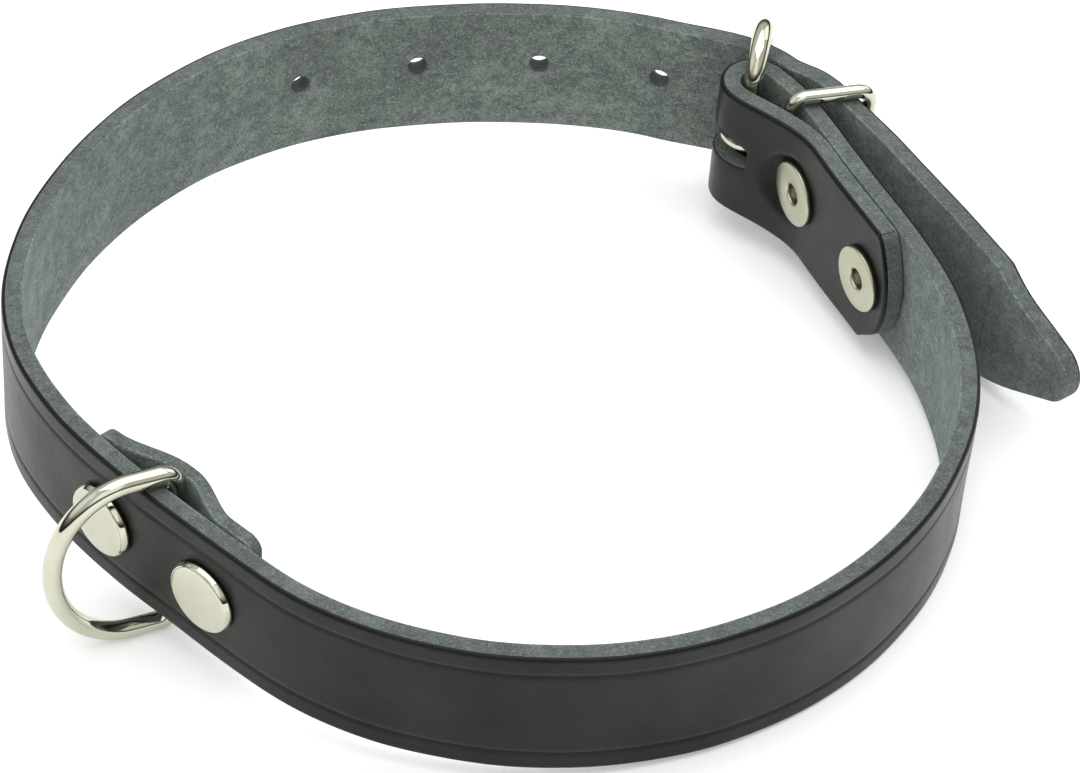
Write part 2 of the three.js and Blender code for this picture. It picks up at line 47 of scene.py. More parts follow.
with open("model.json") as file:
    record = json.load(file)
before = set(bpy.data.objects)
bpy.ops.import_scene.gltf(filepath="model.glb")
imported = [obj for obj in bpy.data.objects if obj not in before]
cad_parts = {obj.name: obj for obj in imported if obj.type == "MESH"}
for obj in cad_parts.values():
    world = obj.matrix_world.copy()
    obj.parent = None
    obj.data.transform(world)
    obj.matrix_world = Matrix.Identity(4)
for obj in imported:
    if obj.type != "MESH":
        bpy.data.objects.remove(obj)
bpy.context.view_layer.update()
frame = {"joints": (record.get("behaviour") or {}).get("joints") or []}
ring_joint = frame["joints"][0]

MM = 0.001
DEG = math.pi / 180

# Fineness of the meshes
REPEAT = 1e-8
MERGE = 1e-6
LINE_STEP = 0.25 * MM
COLUMN_STEP = 0.8 * MM
WALL_STEPS = 5
LOOP_STEPS = 360
LOOP_AROUND = 32
BEND_STEPS = 90
BEND_AROUND = 28
RIVET_AROUND = 64

# Small allowances and softened edges of the leather
STEM_PLAY = 0.1 * MM
PIN_PLAY = 0.05 * MM
SEAT_FADE = 1.5 * MM
SEAT_DEPTH = 3.5 * MM
HOLE_LIP = 0.35 * MM
HOLE_MARGIN = 1.0 * MM
SWAY_HEIGHT = 0.04 * MM
PATCH_BEVEL = 0.3 * MM
FLAP_UPPER_CORNER = 1.0 * MM
FLAP_LOWER_CORNER = 4.8 * MM
FLAP_BOW_REACH = 14 * MM
TAPER_LEAD = 6 * MM
PRONG_SEARCH = 20 * MM
SLOT_POWER = 7.0

# Softened edges of the wire and the rivets
WIRE_CUT = 0.35 * MM
CAP_ROLL = 0.42 * MM
CAP_UNDER = 0.06 * MM
CAP_SHOULDER = 0.11 * MM
CAP_DOME = 0.10 * MM
PIN_OVER = 0.5 * MM
FLANGE_ROLL = 0.24 * MM
FLANGE_DISH = 0.02 * MM
FLANGE_BACK = 0.2 * MM
TUBE_SHORT = 0.2 * MM
BORE_LIP = 0.45 * MM

# The camera, which was fitted to the strap's edges in the picture, the floor and the lighting
ELEVATION = 44.589 * DEG
DISTANCE = 647.2 * MM
ROLL = -4.972 * DEG
LENS = 150.956
SENSOR = 36.0
CLIP = (0.05, 10.0)
AIM = (-31.087 * MM, -60.922 * MM, 11 * MM)
FLOOR_HALF = 1.6
WORLD_STRENGTH = 0.78
LAMP_AIM = (0, 0, 10 * MM)
# Square lamps: name, place, size, power
LAMPS = (
    ("overhead", (0.10, 0.10, 1.15), 1.5, 12.5), ("left", (-1.05, -0.25, 0.75), 0.9, 1.0),
    ("front", (0.10, -1.10, 0.80), 0.9, 1.6), ("back_right", (0.85, 0.85, 0.70), 0.8, 2.2),
)

# The hole attribute only steers the painted shade in and around the holes
# Values of the hole attribute, in millimetres, where no hole is near and inside a hole's tube
NO_HOLE = 9.0
IN_HOLE = -2.0

# Rows of the strap's grid next to its edges, and those of the patch, by their distance from the edge
EDGE_ROWS = np.array([0, 0.04, 0.16, 0.34, 0.55, 0.9, 1.6, 2.4, 2.8, 3.05, 3.3, 3.55, 3.8, 4.3]) * MM
PATCH_ROWS = np.array([0, 0.05, 0.18, 0.4, 0.8, 1.4]) * MM
# How sharply the strap bends along the loop: share of the loop, share of an even circle's bend
BENDS = np.array([
    (0.000, 2.18), (0.056, -0.34), (0.116, 1.0), (0.166, 1.38), (0.236, 1.15), (0.416, 1.11), (0.466, 1.39),
    (0.506, -0.06), (0.556, 0.67), (0.616, 1.85), (0.696, 0.95), (0.796, 1.1), (0.896, 0.63), (1.000, 2.18),
])
# How far the free end has sprung away: share of its length, share of the spring at its tip
SPRING = np.array([
    (0.00, 0.00), (0.08, 0.12), (0.20, 0.20), (0.32, 0.28), (0.45, 0.33), (0.60, 0.38), (0.77, 0.47),
    (0.87, 0.60), (1.00, 1.00),
])


# Sizes and finishes


def length(description, millimetres):
    """Length property with its default given in millimetres."""
    return FloatProperty(description=description, default=millimetres * MM, unit="LENGTH", precision=5)


def share(description, value):
    """Plain number property."""
    return FloatProperty(description=description, default=value, precision=4)


def angle(description, degrees):
    """Angle property with its default given in degrees."""
    return FloatProperty(description=description, default=degrees * DEG, unit="ROTATION", precision=5)


def colour(description, rgb):
    """Linear colour property."""
    return FloatVectorProperty(description=description, default=rgb, subtype="COLOR", size=3, min=0, max=1)


class CollarStrapSizes(bpy.types.PropertyGroup):
    """Sizes of the leather strap and its patch."""

    neck_loop: length("Length of the strap's middle line once round the neck", 417)
    start_heading: angle("Direction of the loop at the buckle's bar", -43.2)
    width: length("Height of the standing strap", 22)
    thickness: length("Thickness of the leather", 3)
    seat_gap: length("Clearance between pieces that touch", 0.3)
    layer_ease: length("Length over which the strap eases on to the buckle", 19)
    tongue_length: length("From the buckle's bar to the tip", 62)
    tongue_spring: length("How far the tip springs away from the body", 14.2)
    point_length: length("Tapered stretch at the tip", 17)
    point_radius: length("Round nose of the tip", 5)
    hole_diameter: length("Diameter of the punched holes", 3)
    hole_spacing: length("Distance between the free holes", 19)
    hole_rise: length("Height of the row of holes above mid height", 1.2)
    free_holes: IntProperty(description="Number of holes in the body", default=4, min=0)
    fold_slack: length("Play of the bar in the fold", 1.2)
    flap_length: length("From the buckle's bar to the flap's end", 42.8)
    flap_round: length("How far the flap's end bows out", 4)
    flap_close: length("Distance past the bar where the flap meets the strap", 18.5)
    flap_first_rivet: length("From the buckle's bar to the first rivet", 15.6)
    flap_rivet_spacing: length("Distance between the flap's rivets", 19.8)
    slot_width: length("Height of the slot for the prong", 4.6)
    slot_reach: length("Slot length past the bar on each side of the fold", 4.7)
    crease_inset: length("Distance of the crease line from the edge", 3.3)
    crease_depth: length("Depth of the crease line", 0.2)
    crease_width: length("Width of the crease line", 0.55)
    bevel: length("Bevel along the edges of the grain side", 0.55)
    patch_share: share("Middle of the ring's patch as a share of the loop", 0.5269)
    patch_thickness: length("Thickness of the ring's patch", 2)
    patch_length: length("Length of the ring's patch along the strap", 31)
    patch_bulge: length("Length of the bulge from the ring's bar towards the buckle's rivets", 10.5)
    patch_bulge_far: length("Length of the bulge on the other side of the bar", 13)
    patch_corner: length("Radius of the patch's corners", 2.2)
    patch_rivet_spacing: length("Distance between the patch's rivets", 19.7)


class CollarHardwareSizes(bpy.types.PropertyGroup):
    """Sizes of the wire hardware and the rivets."""

    frame_wire: length("Wire diameter of the buckle's frame", 3)
    frame_leg: length("Straight part of the frame's legs", 19.2)
    frame_bow: length("Depth of the bows at the frame's ends", 5.6)
    frame_lean: length("How far the outer leg lies back along the strap", 6)
    prong_wire: length("Wire diameter of the prong", 2.4)
    prong_past: length("Prong length past the outer leg", 2.6)
    prong_open: angle("Opening of the prong's eye", 84)
    keeper_wire: length("Wire diameter of the keeper", 2.2)
    keeper_station: length("From the buckle's bar to the keeper", 8.2)
    keeper_skew: length("How far the keeper's outer leg lies on along the strap", 3)
    keeper_play: length("Extra inside height over the strap's width", 1.6)
    keeper_corner: length("Corner radius of the keeper's middle line", 2)
    ring_wire: length("Wire diameter of the D-ring", 2.8)
    ring_height: length("Height of the D-ring between wire middles", 28.8)
    ring_arm: length("Straight arms next to the ring's bar", 6.4)
    ring_bow: length("Depth of the ring's round part", 11.2)
    ring_corner: length("Corner radius at the ring's bar", 2.4)
    ring_share: share("Place of the ring's bar as a share of the loop", 0.5288)
    ring_swing: angle("Swing of the ring from square to the strap as it lies", -24.4)
    cap_diameter: length("Diameter of the rivet caps", 11.2)
    cap_thickness: length("Thickness of the rivet caps", 1.2)
    flange_diameter: length("Diameter of the flanges on the rivets' posts", 10.2)
    flange_thickness: length("Thickness of the flanges", 0.6)
    stem_wall: length("Wall of the posts' tubes", 0.5)
    stem_bore: length("Bore of the posts' tubes", 3.2)
    stem_recess: length("Depth of the recess in the posts", 1.8)


class CollarFinish(bpy.types.PropertyGroup):
    """Colours and surface strengths."""

    grain_colour: colour("Dyed grain side of the leather", (0.0058, 0.0062, 0.0058))
    grain_worn: colour("Grain where it is rubbed", (0.019, 0.0195, 0.018))
    flesh_colour: colour("Split side of the leather", (0.205, 0.240, 0.213))
    # This dark colour, halved, is also the painted shade in and around the holes
    flesh_dark: colour("Dark specks and dye marks of the split side", (0.036, 0.045, 0.042))
    edge_colour: colour("Cut edges of the leather", (0.120, 0.138, 0.128))
    metal_colour: colour("Plated wire and caps", (0.56, 0.565, 0.47))
    metal_roughness: share("Roughness of the polished plating", 0.06)
    flange_colour: colour("Duller plating of the flanges", (0.47, 0.475, 0.375))
    flange_roughness: share("Roughness of the satin flanges", 0.34)


def finish_values():
    """Colours and surface strengths of the scene."""
    return bpy.context.scene.collar_finish


# Plan of the collar


def cosine_table(rows, shares):
    """Value between the rows of a table, blended along half a cosine wave."""
    place, value = rows.T
    i = np.clip(np.searchsorted(place, shares), 1, len(rows) - 1)
    part = (shares - place[i - 1]) / (place[i] - place[i - 1])
    return value[i - 1] + (value[i] - value[i - 1]) * (1 - np.cos(np.pi * part)) / 2


def smooth_table(rows, shares):
    """Value between the rows of a table on a cubic with the slope of the neighbouring rows at each, level at
    the first row."""
    place, value = rows.T
    slope = np.empty(len(rows))
    slope[0] = 0
    slope[1:-1] = (value[2:] - value[:-2]) / (place[2:] - place[:-2])
    slope[-1] = (value[-1] - value[-2]) / (place[-1] - place[-2])
    i = np.clip(np.searchsorted(place, shares), 1, len(rows) - 1)
    span = place[i] - place[i - 1]
    u = (shares - place[i - 1]) / span
    start = value[i - 1] * (1 + 2 * u) * (1 - u) ** 2 + slope[i - 1] * span * u * (1 - u) ** 2
    return start + value[i] * u * u * (3 - 2 * u) + slope[i] * span * u * u * (u - 1)


def ease(x, low, high):
    """Smooth step from 0 at low to 1 at high."""
    t = np.clip((x - low) / (high - low), 0, 1)
    return t * t * (3 - 2 * t)


def distances(points):
    """Distance of each point along a row of them, from the first."""
    return np.concatenate([[0], np.cumsum(np.linalg.norm(np.diff(points, axis=0), axis=1))])


def distinct(points):
    """The row of points without repeats."""
    gaps = np.linalg.norm(np.diff(points, axis=0), axis=1)
    return points[np.concatenate([[True], gaps > REPEAT])]


def follow(at, run, points):
    """Points in plan at the distances given along a row of them."""
    return np.stack([np.interp(at, run, points[:, k]) for k in (0, 1)], -1)


def to_right(ahead):
    """Direction a quarter turn to the right of one in plan."""
    return np.array([ahead[1], -ahead[0]])


class Plan:
    """The strap's middle line in plan, and the places of the hardware on it."""

    STEPS = 834

    def __init__(self):
        s, h = bpy.context.scene.collar_strap, bpy.context.scene.collar_hardware
        self.s, self.h = s, h
        bends = cosine_table(BENDS, (np.arange(self.STEPS) + 0.5) / self.STEPS)
        turned = np.concatenate([[0], np.cumsum(bends)]) * 2 * np.pi / bends.sum()
        self.headings = s.start_heading - turned
        middle = (self.headings[:-1] + self.headings[1:]) / 2
        steps = np.stack([np.cos(middle), np.sin(middle)], 1) * s.neck_loop / self.STEPS
        points = np.vstack([[0, 0], np.cumsum(steps, 0)])
        self.points = points - points[-1] * np.linspace(0, 1, self.STEPS + 1)[:, None]
        self.layer = s.thickness + s.seat_gap
        self.mid_height = s.width / 2
        self.hole_height = self.mid_height + s.hole_rise
        self.flap_at_bar = -(s.thickness + h.frame_wire + 2 * s.seat_gap + s.fold_slack)
        self.frame_reach = s.thickness / 2 + s.seat_gap + h.frame_wire / 2
        self.bar = self.point(0, -self.frame_reach - s.fold_slack)
        self.outer_leg = self.point(-h.frame_lean, self.approach(-h.frame_lean) + self.frame_reach)
        self.ring_station = s.neck_loop * h.ring_share
        self.ring_bar = self.point(self.ring_station, -(s.thickness / 2 + s.seat_gap + h.ring_wire / 2))
        self.patch_station = s.neck_loop * s.patch_share
        self.flap_rivets = [s.flap_first_rivet, s.flap_first_rivet + s.flap_rivet_spacing]
        self.patch_rivets = [self.patch_station + side * s.patch_rivet_spacing / 2 for side in (-1, 1)]
        self.free_holes = [-s.hole_spacing * (i + 1) for i in range(s.free_holes)]
        shank = self.outer_leg - self.bar
        self.frame_across = np.linalg.norm(shank)
        self.prong_way = shank / self.frame_across
        self.prong_eye = h.frame_wire / 2 + s.seat_gap + h.prong_wire / 2
        self.prong_start = self.bar + self.prong_eye * to_right(self.prong_way)
        self.flap_stack = s.thickness + self.layer
        self.patch_stack = s.thickness + s.seat_gap + s.patch_thickness
        self.stem = h.stem_bore / 2 + h.stem_wall + STEM_PLAY
        self.flange = h.flange_diameter / 2 + STEM_PLAY

    def place(self, station):
        """Step of the loop at a station, counted round again past either end."""
        return np.mod(station, self.s.neck_loop) / self.s.neck_loop * self.STEPS

    def heading(self, station):
        """Direction of the loop at a station, as an angle in plan."""
        return np.interp(self.place(station), np.arange(self.STEPS + 1), self.headings)

    def outward(self, station):
        """Direction away from the neck: the heading turned a quarter to the left."""
        heading = self.heading(station)
        return np.stack([-np.sin(heading), np.cos(heading)], -1)

    def point(self, station, offset):
        """Point of the plan at a station, moved outward by the offset."""
        station = np.asarray(station, float)
        middle = follow(self.place(station), np.arange(self.STEPS + 1), self.points)
        return middle + self.outward(station) * np.asarray(offset, float)[..., None]

    def approach(self, station):
        """Offset of the strap before the bar: a smooth step from 0 up to one layer over the easing length."""
        return self.layer * ease(station, -self.s.layer_ease, 0)

    def tongue(self, station):
        """Offset of the free end past the bar: one layer, and the spring times its share from the table."""
        return self.layer + self.s.tongue_spring * smooth_table(SPRING, station / self.s.tongue_length)

    def flap(self, station):
        """Offset of the flap: a smooth step from its place behind the bar to one layer inside the strap."""
        share_closed = ease(station, 0, self.s.flap_close)
        return self.flap_at_bar + (-self.layer - self.flap_at_bar) * share_closed

    def patch(self, station):
        """Offset of the patch's middle: flat on the strap, and bulging round the ring's bar."""
        h = self.h
        rest = -(self.s.thickness / 2 + self.s.seat_gap + self.s.patch_thickness / 2)
        beside = station - self.ring_station
        bulge = np.where(beside > 0, self.s.patch_bulge_far, self.s.patch_bulge)
        rise = 1 - ease(np.abs(beside), h.ring_wire / 4, bulge)
        return rest - (h.ring_wire + self.s.seat_gap) * rise


class Line:
    """A curve drawn in plan and measured by the distance along it. Its directions are the differences
    between its points, averaged over a few neighbours."""

    GRID = 0.2 * MM

    def __init__(self, points, smooth=7):
        points = distinct(points)
        run = distances(points)
        self.length = run[-1]
        self.run = np.linspace(0, self.length, int(self.length / self.GRID) + 1)
        self.points = follow(self.run, run, points)
        along = np.gradient(self.points, self.run, axis=0)
        padded = np.pad(along, ((smooth // 2, smooth // 2), (0, 0)), mode="edge")
        kernel = np.full(smooth, 1 / smooth)
        along = np.stack([np.convolve(padded[:, k], kernel, "valid") for k in (0, 1)], 1)
        along /= np.linalg.norm(along, axis=1)[:, None]
        self.left = np.stack([-along[:, 1], along[:, 0]], 1)

    def at(self, x, side):
        """Points at distances x along the line, moved to its left by side."""
        left = follow(x, self.run, self.left)
        left /= np.linalg.norm(left, axis=-1)[..., None]
        return follow(x, self.run, self.points) + left * side[..., None]


def strap_line(plan):
    """The whole strap's middle line: flap, fold, body, approach and free end, with the distance at which
    each station lies. The fold is a half circle from the flap round the bar to the body."""
    s, fine = plan.s, LINE_STEP
    flap_at = np.arange(s.flap_length, 0, -fine)
    radius = -plan.flap_at_bar / 2
    centre = plan.point(0, plan.flap_at_bar / 2)
    turn = np.linspace(0, np.pi, 60)
    out = plan.outward(0)
    along = to_right(out)
    fold = centre - radius * np.cos(turn)[:, None] * out - radius * np.sin(turn)[:, None] * along
    body_at = np.arange(0, s.neck_loop - s.layer_ease, fine)
    ease_at = np.arange(-s.layer_ease, 0, fine)
    tongue_at = np.append(np.arange(0, s.tongue_length, fine), s.tongue_length)
    parts = [
        plan.point(flap_at, plan.flap(flap_at)), fold, plan.point(body_at, 0 * body_at),
        plan.point(ease_at, plan.approach(ease_at)), plan.point(tongue_at, plan.tongue(tongue_at)),
    ]
    points = np.vstack(parts)
    run = distances(points)
    ends = np.cumsum([len(part) for part in parts])
    line = Line(points)
    line.flap_run = (flap_at[::-1], run[:ends[0]][::-1])
    line.fold_run = (run[ends[0]], run[ends[1] - 1])
    line.body_run = (body_at, run[ends[1]:ends[2]])
    line.back_run = (np.concatenate([body_at - s.neck_loop, ease_at]), run[ends[1]:ends[3]])
    return line


# Meshes


def collar_pose():
    """Matrix that turns the collar's own frame into the resting pose, found from the ring's hinge."""
    plan = Plan()
    up = Vector(ring_joint["axis"]).normalized()
    turn = Vector((0, 0, 1)).rotation_difference(up)
    hinge = Vector((*plan.ring_bar, plan.mid_height))
    return Matrix.Translation(Vector(ring_joint["pos_m"]) - turn @ hinge) @ turn.to_matrix().to_4x4()


def make_piece(name, body, nodes, slot, materials, points, faces, which=None, attributes=None):
    """Mesh of the given points and faces, put in the resting pose. It rides on a body and replaces nodes."""
    pose = np.array(collar_pose())
    placed = points @ pose[:3, :3].T + pose[:3, 3]
    mesh = bpy.data.meshes.new(name)
    mesh.from_pydata(placed.tolist(), [], faces.tolist())
    for key, values in (attributes or {}).items():
        layer = mesh.attributes.new(key, "FLOAT", "POINT")
        layer.data.foreach_set("value", np.asarray(values, np.float32))
    for item in materials:
        mesh.materials.append(item)
    if which is not None:
        mesh.polygons.foreach_set("material_index", np.asarray(which, np.int32))
    work = bmesh.new()
    work.from_mesh(mesh)
    bmesh.ops.remove_doubles(work, verts=work.verts, dist=MERGE)
    bmesh.ops.dissolve_degenerate(work, edges=work.edges, dist=MERGE / 10)
    bmesh.ops.recalc_face_normals(work, faces=work.faces)
    work.to_mesh(mesh)
    work.free()
    mesh.polygons.foreach_set("use_smooth", np.ones(len(mesh.polygons), bool))
    mesh.update()
    piece = bpy.data.objects.new(name, mesh)
    bpy.context.scene.collection.objects.link(piece)
    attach(piece, body)
    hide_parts(*nodes)


def grid_faces(rows, columns, wrap_rows=False, wrap_columns=False, start=0):
    """Quads between neighbouring points of a grid numbered row by row."""
    i = np.arange(rows if wrap_rows else rows - 1)
    j = np.arange(columns if wrap_columns else columns - 1)
    i, j = np.meshgrid(i, j, indexing="ij")
    down, right = (i + 1) % rows, (j + 1) % columns
    quads = np.stack([i * columns + j, down * columns + j, down * columns + right, i * columns + right], -1)
    return quads.reshape(-1, 4) + start


# Leather


class Hole:
    """Opening in a sheet, centred at distance x and height z, with half sizes a and b. Its outline is a
    superellipse of the given power, and it runs through the sheet at a slant."""

    def __init__(self, x, z, a, b, power=2.0, slant=0.0):
        self.x, self.z, self.a, self.b, self.power, self.slant = x, z, a, b, power, slant

    def measure(self, x, z):
        """1 on the outline, less inside and more outside: the shares of the half sizes, each raised to the
        power, are added, and the root of that power is taken."""
        across = np.abs((x - self.x) / self.a) ** self.power
        return (across + np.abs((z - self.z) / self.b) ** self.power) ** (1 / self.power)


class Seat:
    """Place where a rivet presses the leather flat: at a station, up to a plane at the given depth below the
    strap's outer face, within the flange's radius and easing off round it."""

    def __init__(self, plan, station, depth):
        self.out = plan.outward(station)
        self.along = to_right(self.out)
        self.origin = plan.point(station, plan.s.thickness / 2)
        self.height, self.depth, self.radius = plan.mid_height, -depth, plan.flange

    def press(self, points):
        """Draws points beyond the plane back on to it, by a share that eases from 1 to 0 past the radius."""
        local = points[:, :2] - self.origin
        deep, aside = local @ self.out, local @ self.along
        reach = np.hypot(aside, points[:, 2] - self.height)
        share_in = 1 - ease(reach, self.radius, self.radius + SEAT_FADE)
        beyond = (deep < self.depth) & (deep > self.depth - SEAT_DEPTH)
        over = np.where(beyond, self.depth - deep, 0)
        points[:, :2] += (over * share_in)[:, None] * self.out


def rounding(edge, radius):
    """How far a face drops near its edge: a quarter circle of the radius given."""
    inside = np.clip(radius - edge, 0, radius)
    return radius - np.sqrt(radius ** 2 - inside ** 2)


def sway(x, z):
    """Slow unevenness of hand-cut leather: a sum of three sine waves of different lengths along and across
    the strap, the second 0.7 and the third 0.5 of the first."""
    long = np.sin(x / (9.1 * MM)) * np.cos(z / (6.3 * MM) + 1.1)
    middle = 0.7 * np.sin(x / (3.7 * MM) + z / (4.9 * MM))
    short = 0.5 * np.sin(x / (2.3 * MM) - z / (3.1 * MM) + 0.6)
    return SWAY_HEIGHT * (long + middle + short)


def tube_rows(thickness):
    """Rows of a hole's tube from the grain face to the flesh face. Each has the share of the way from the
    block's rim to the outline, how far the outline is widened there, the depth or None on a face, and the
    side: 1 grain, 0 inside the tube, -1 flesh. The lip is a quarter circle."""
    half = thickness / 2
    turn = np.linspace(0, np.pi / 2, 5)
    lip = [(1.0, HOLE_LIP * (1 - np.sin(t)), half - HOLE_LIP * (1 - np.cos(t)), int(np.cos(t) > 0.5))
           for t in turn]
    face = [(0.0, 0.0, None, 1), (0.5, HOLE_LIP, None, 1)] + lip
    inside = [(1.0, 0.0, d, 0) for d in np.linspace(half - HOLE_LIP, HOLE_LIP - half, 6)[1:-1]]
    back = [(blend, swell, None if d is None else -d, -side) for blend, swell, d, side in face[::-1]]
    return face + inside + back


def leather_sheet(line, outline, thickness, bevel, holes, seats, ends, crease=None):
    """Closed sheet carried along a line.

    The outline's grid gives for each point its distance x along the line, height z and distance from
    the edge. The grain face stands half the thickness to the left of the line, less the bevel at the
    edge and the crease, whose groove is a bell curve over the distance from the edge. The flesh face
    stands half the thickness to the right. Walls join their edges, and each hole is a tube from a block
    of the grid on one face to the same block on the other. Caps close the ends that are told to be.
    """
    x, z, edge = outline
    columns, rows = x.shape
    wave = sway(x, z)
    depth, groove = 0, 0 * x
    if crease:
        inset, width, depth, fades = crease
        groove = np.exp(-((edge - inset) / (width / 2)) ** 2) * ease(x, *fades)
    outer = thickness / 2 - rounding(edge, bevel) - depth * groove + wave
    inner = -thickness / 2 + rounding(edge, bevel / 2) + wave
    wall = np.linspace(0, 1, WALL_STEPS + 1)[1:-1]
    blank = np.zeros((columns, len(wall)))

    def round_sheet(face, back, walled=None):
        """Rows once round the sheet: grain face, lower wall, flesh face and upper wall. The walls run evenly
        from face to face, or hold one value."""
        low, high = (blank + walled,) * 2 if walled is not None else (
            face[:, -1:] + (back - face)[:, -1:] * wall, back[:, :1] + (face - back)[:, :1] * wall)
        return np.hstack([face, low, back[:, ::-1], high])

    back_start = rows + len(wall)
    ring = 2 * back_start
    kept = np.ones((columns - 1, ring), bool)
    kind = np.ones((columns - 1, ring), int)
    kind[:, :rows - 1] = 0
    kind[:, back_start:back_start + rows - 1] = 2

    blocks = []
    hole_gap = np.full(x.shape, NO_HOLE)
    for hole in holes:
        gap = (hole.measure(x, z) - 1) * min(hole.a, hole.b) / MM
        hole_gap = np.minimum(hole_gap, np.maximum(gap, 0))
        reach_x, reach_z = hole.a + HOLE_MARGIN, hole.b + HOLE_MARGIN
        along, across = x[:, rows // 2], z[columns // 2]
        k0, k1 = np.searchsorted(along, [hole.x - reach_x, hole.x + reach_x]) - (1, 0)
        j0, j1 = np.searchsorted(-across, [-hole.z - reach_z, reach_z - hole.z]) - (1, 0)
        kept[k0:k1, j0:j1] = False
        kept[k0:k1, back_start + rows - 1 - j1:back_start + rows - 1 - j0] = False
        blocks.append((hole, k0, k1, j0, j1))

    parts = [(round_sheet(x, x), round_sheet(z, z), round_sheet(outer, inner), round_sheet(edge, edge, 0),
              round_sheet(hole_gap, hole_gap, NO_HOLE), round_sheet(groove, 0 * x, 0))]
    quads = grid_faces(columns, ring, wrap_columns=True).reshape(columns - 1, ring, 4)
    faces, kinds = [quads[kept]], [kind[kept]]
    count = columns * ring

    for column in [c for c, closed in zip((0, columns - 1), ends) if closed]:
        through = np.concatenate([[0], wall, [1]])[:, None]
        cap_depth = outer[column] + (inner[column] - outer[column]) * through
        cap = [np.broadcast_to(value[column], cap_depth.shape) for value in (x, z, edge)]
        parts.append((cap[0], cap[1], cap_depth, cap[2], 0 * cap_depth + NO_HOLE, 0 * cap_depth))
        faces.append(grid_faces(*cap_depth.shape, start=count))
        kinds.append(np.ones(len(faces[-1]), int))
        count += cap_depth.size

    for hole, k0, k1, j0, j1 in blocks:
        k, j = np.arange(k0, k1), np.arange(j0, j1)
        walk = (np.concatenate([k, 0 * j + k1, k[::-1] + 1, 0 * j + k0]),
                np.concatenate([0 * k + j0, j, 0 * k + j1, j[::-1] + 1]))
        from_x, from_z = x[walk], z[walk]
        scale = 1 / hole.measure(from_x, from_z)
        rim_x, rim_z = (from_x - hole.x) * scale, (from_z - hole.z) * scale
        size = np.hypot(rim_x, rim_z)
        tube, sides = [], []
        for blend, swell, row_depth, side in tube_rows(thickness):
            if row_depth is None:
                face_depth = (outer if side > 0 else inner)[walk]
                row_depth = face_depth + (side * thickness / 2 - face_depth) * blend
            row_depth = row_depth + 0 * size
            x_rim = hole.x + rim_x * (1 + swell / size) + hole.slant * row_depth
            z_rim = hole.z + rim_z * (1 + swell / size)
            tube.append((
                from_x + (x_rim - from_x) * blend, from_z + (z_rim - from_z) * blend, row_depth, edge[walk],
                hole_gap[walk] * (1 - blend) + (0 if side else IN_HOLE), 0 * size,
            ))
            sides.append(side)
        parts.append(tuple(np.array([row[c] for row in tube]) for c in range(6)))
        faces.append(grid_faces(len(tube), len(size), wrap_columns=True, start=count))
        row_kind = [{1: 0, 0: 1, -1: 2}[side] for side in sides[:-1]]
        kinds.append(np.repeat(row_kind, len(size)))
        count += len(tube) * len(size)

    along, height, deep, edges, gaps, creases = (np.concatenate([np.ravel(part[c]) for part in parts])
                                                 for c in range(6))
    points = np.column_stack([line.at(along, deep), height])
    for seat in seats:
        seat.press(points)
    attributes = {"edge": edges / MM, "hole": gaps, "crease": creases}
    return points, np.vstack(faces), np.concatenate(kinds), attributes


def strap_outline(plan, line):
    """Grid of the strap laid flat: rows are lines at set distances from the edge and even ones between,
    and columns cross the strap. The flap's end is bowed, and at the tip the rows follow the taper and nose.
    Before the taper the rows lean forward by a share that grows to the tangent of half the taper's angle."""
    s = plan.s
    half = s.width / 2
    shoulder = line.length - s.point_length
    taper = s.point_length - s.point_radius
    lean = math.atan2(half, taper) - math.asin(s.point_radius / math.hypot(taper, half))
    nose = np.linspace(np.pi / 2 - lean, 0, 14)
    nose_x = line.length - s.point_radius * (1 - np.cos(nose))
    nose_z = s.point_radius * np.sin(nose)
    side_x = np.linspace(shoulder, nose_x[0], 18)[:-1]
    side_z = half + (nose_z[0] - half) * np.linspace(0, 1, 18)[:-1]
    body_x = np.linspace(EDGE_ROWS[7], shoulder, int(line.length / COLUMN_STEP))[:-1]
    straight_x = np.concatenate([EDGE_ROWS[:7], body_x])
    straight = len(straight_x)
    base_x = np.concatenate([straight_x, side_x, nose_x])
    base_z = np.concatenate([np.full(straight, half), side_z, nose_z])
    turn = np.concatenate([np.zeros(straight), np.full(len(side_x), lean), np.pi / 2 - nose])
    turn[straight] = lean / 2
    inset = EDGE_ROWS * np.ones((len(turn), 1))
    inset[straight] /= math.cos(lean / 2)
    before = shoulder - base_x
    lead = np.where(before > 0, np.clip(1 - before / TAPER_LEAD, 0, 1), 0) * math.tan(lean / 2)
    upper_x = base_x[:, None] - inset * np.sin(turn)[:, None] - EDGE_ROWS * lead[:, None]
    upper_z = base_z[:, None] - inset * np.cos(turn)[:, None]
    even = np.linspace(1, -1, 26)[1:-1]
    x = np.hstack([upper_x, np.repeat(upper_x[:, -1:], len(even), 1), upper_x[:, ::-1]])
    z = np.hstack([upper_z, upper_z[:, -1:] * even, -upper_z[:, ::-1]])
    deepest = EDGE_ROWS[-1]
    rows_edge = np.concatenate([EDGE_ROWS, np.full(len(even), deepest), EDGE_ROWS[::-1]])
    edge = np.where(rows_edge >= deepest, np.maximum(half - np.abs(z), deepest), rows_edge)
    edge = np.minimum(edge, base_x[:, None])
    radius = np.where(z > 0, FLAP_UPPER_CORNER, FLAP_LOWER_CORNER)
    shift_x, shift_z, corner = draw_in_corner(x, half - np.abs(z), radius)
    bow = s.flap_round * (z / half) ** 2 * np.clip(1 - x / FLAP_BOW_REACH, 0, 1) ** 2
    edge = np.clip(np.minimum(edge, corner), 0, None)
    return x + bow + shift_x, z - np.sign(z) * shift_z + plan.mid_height, edge


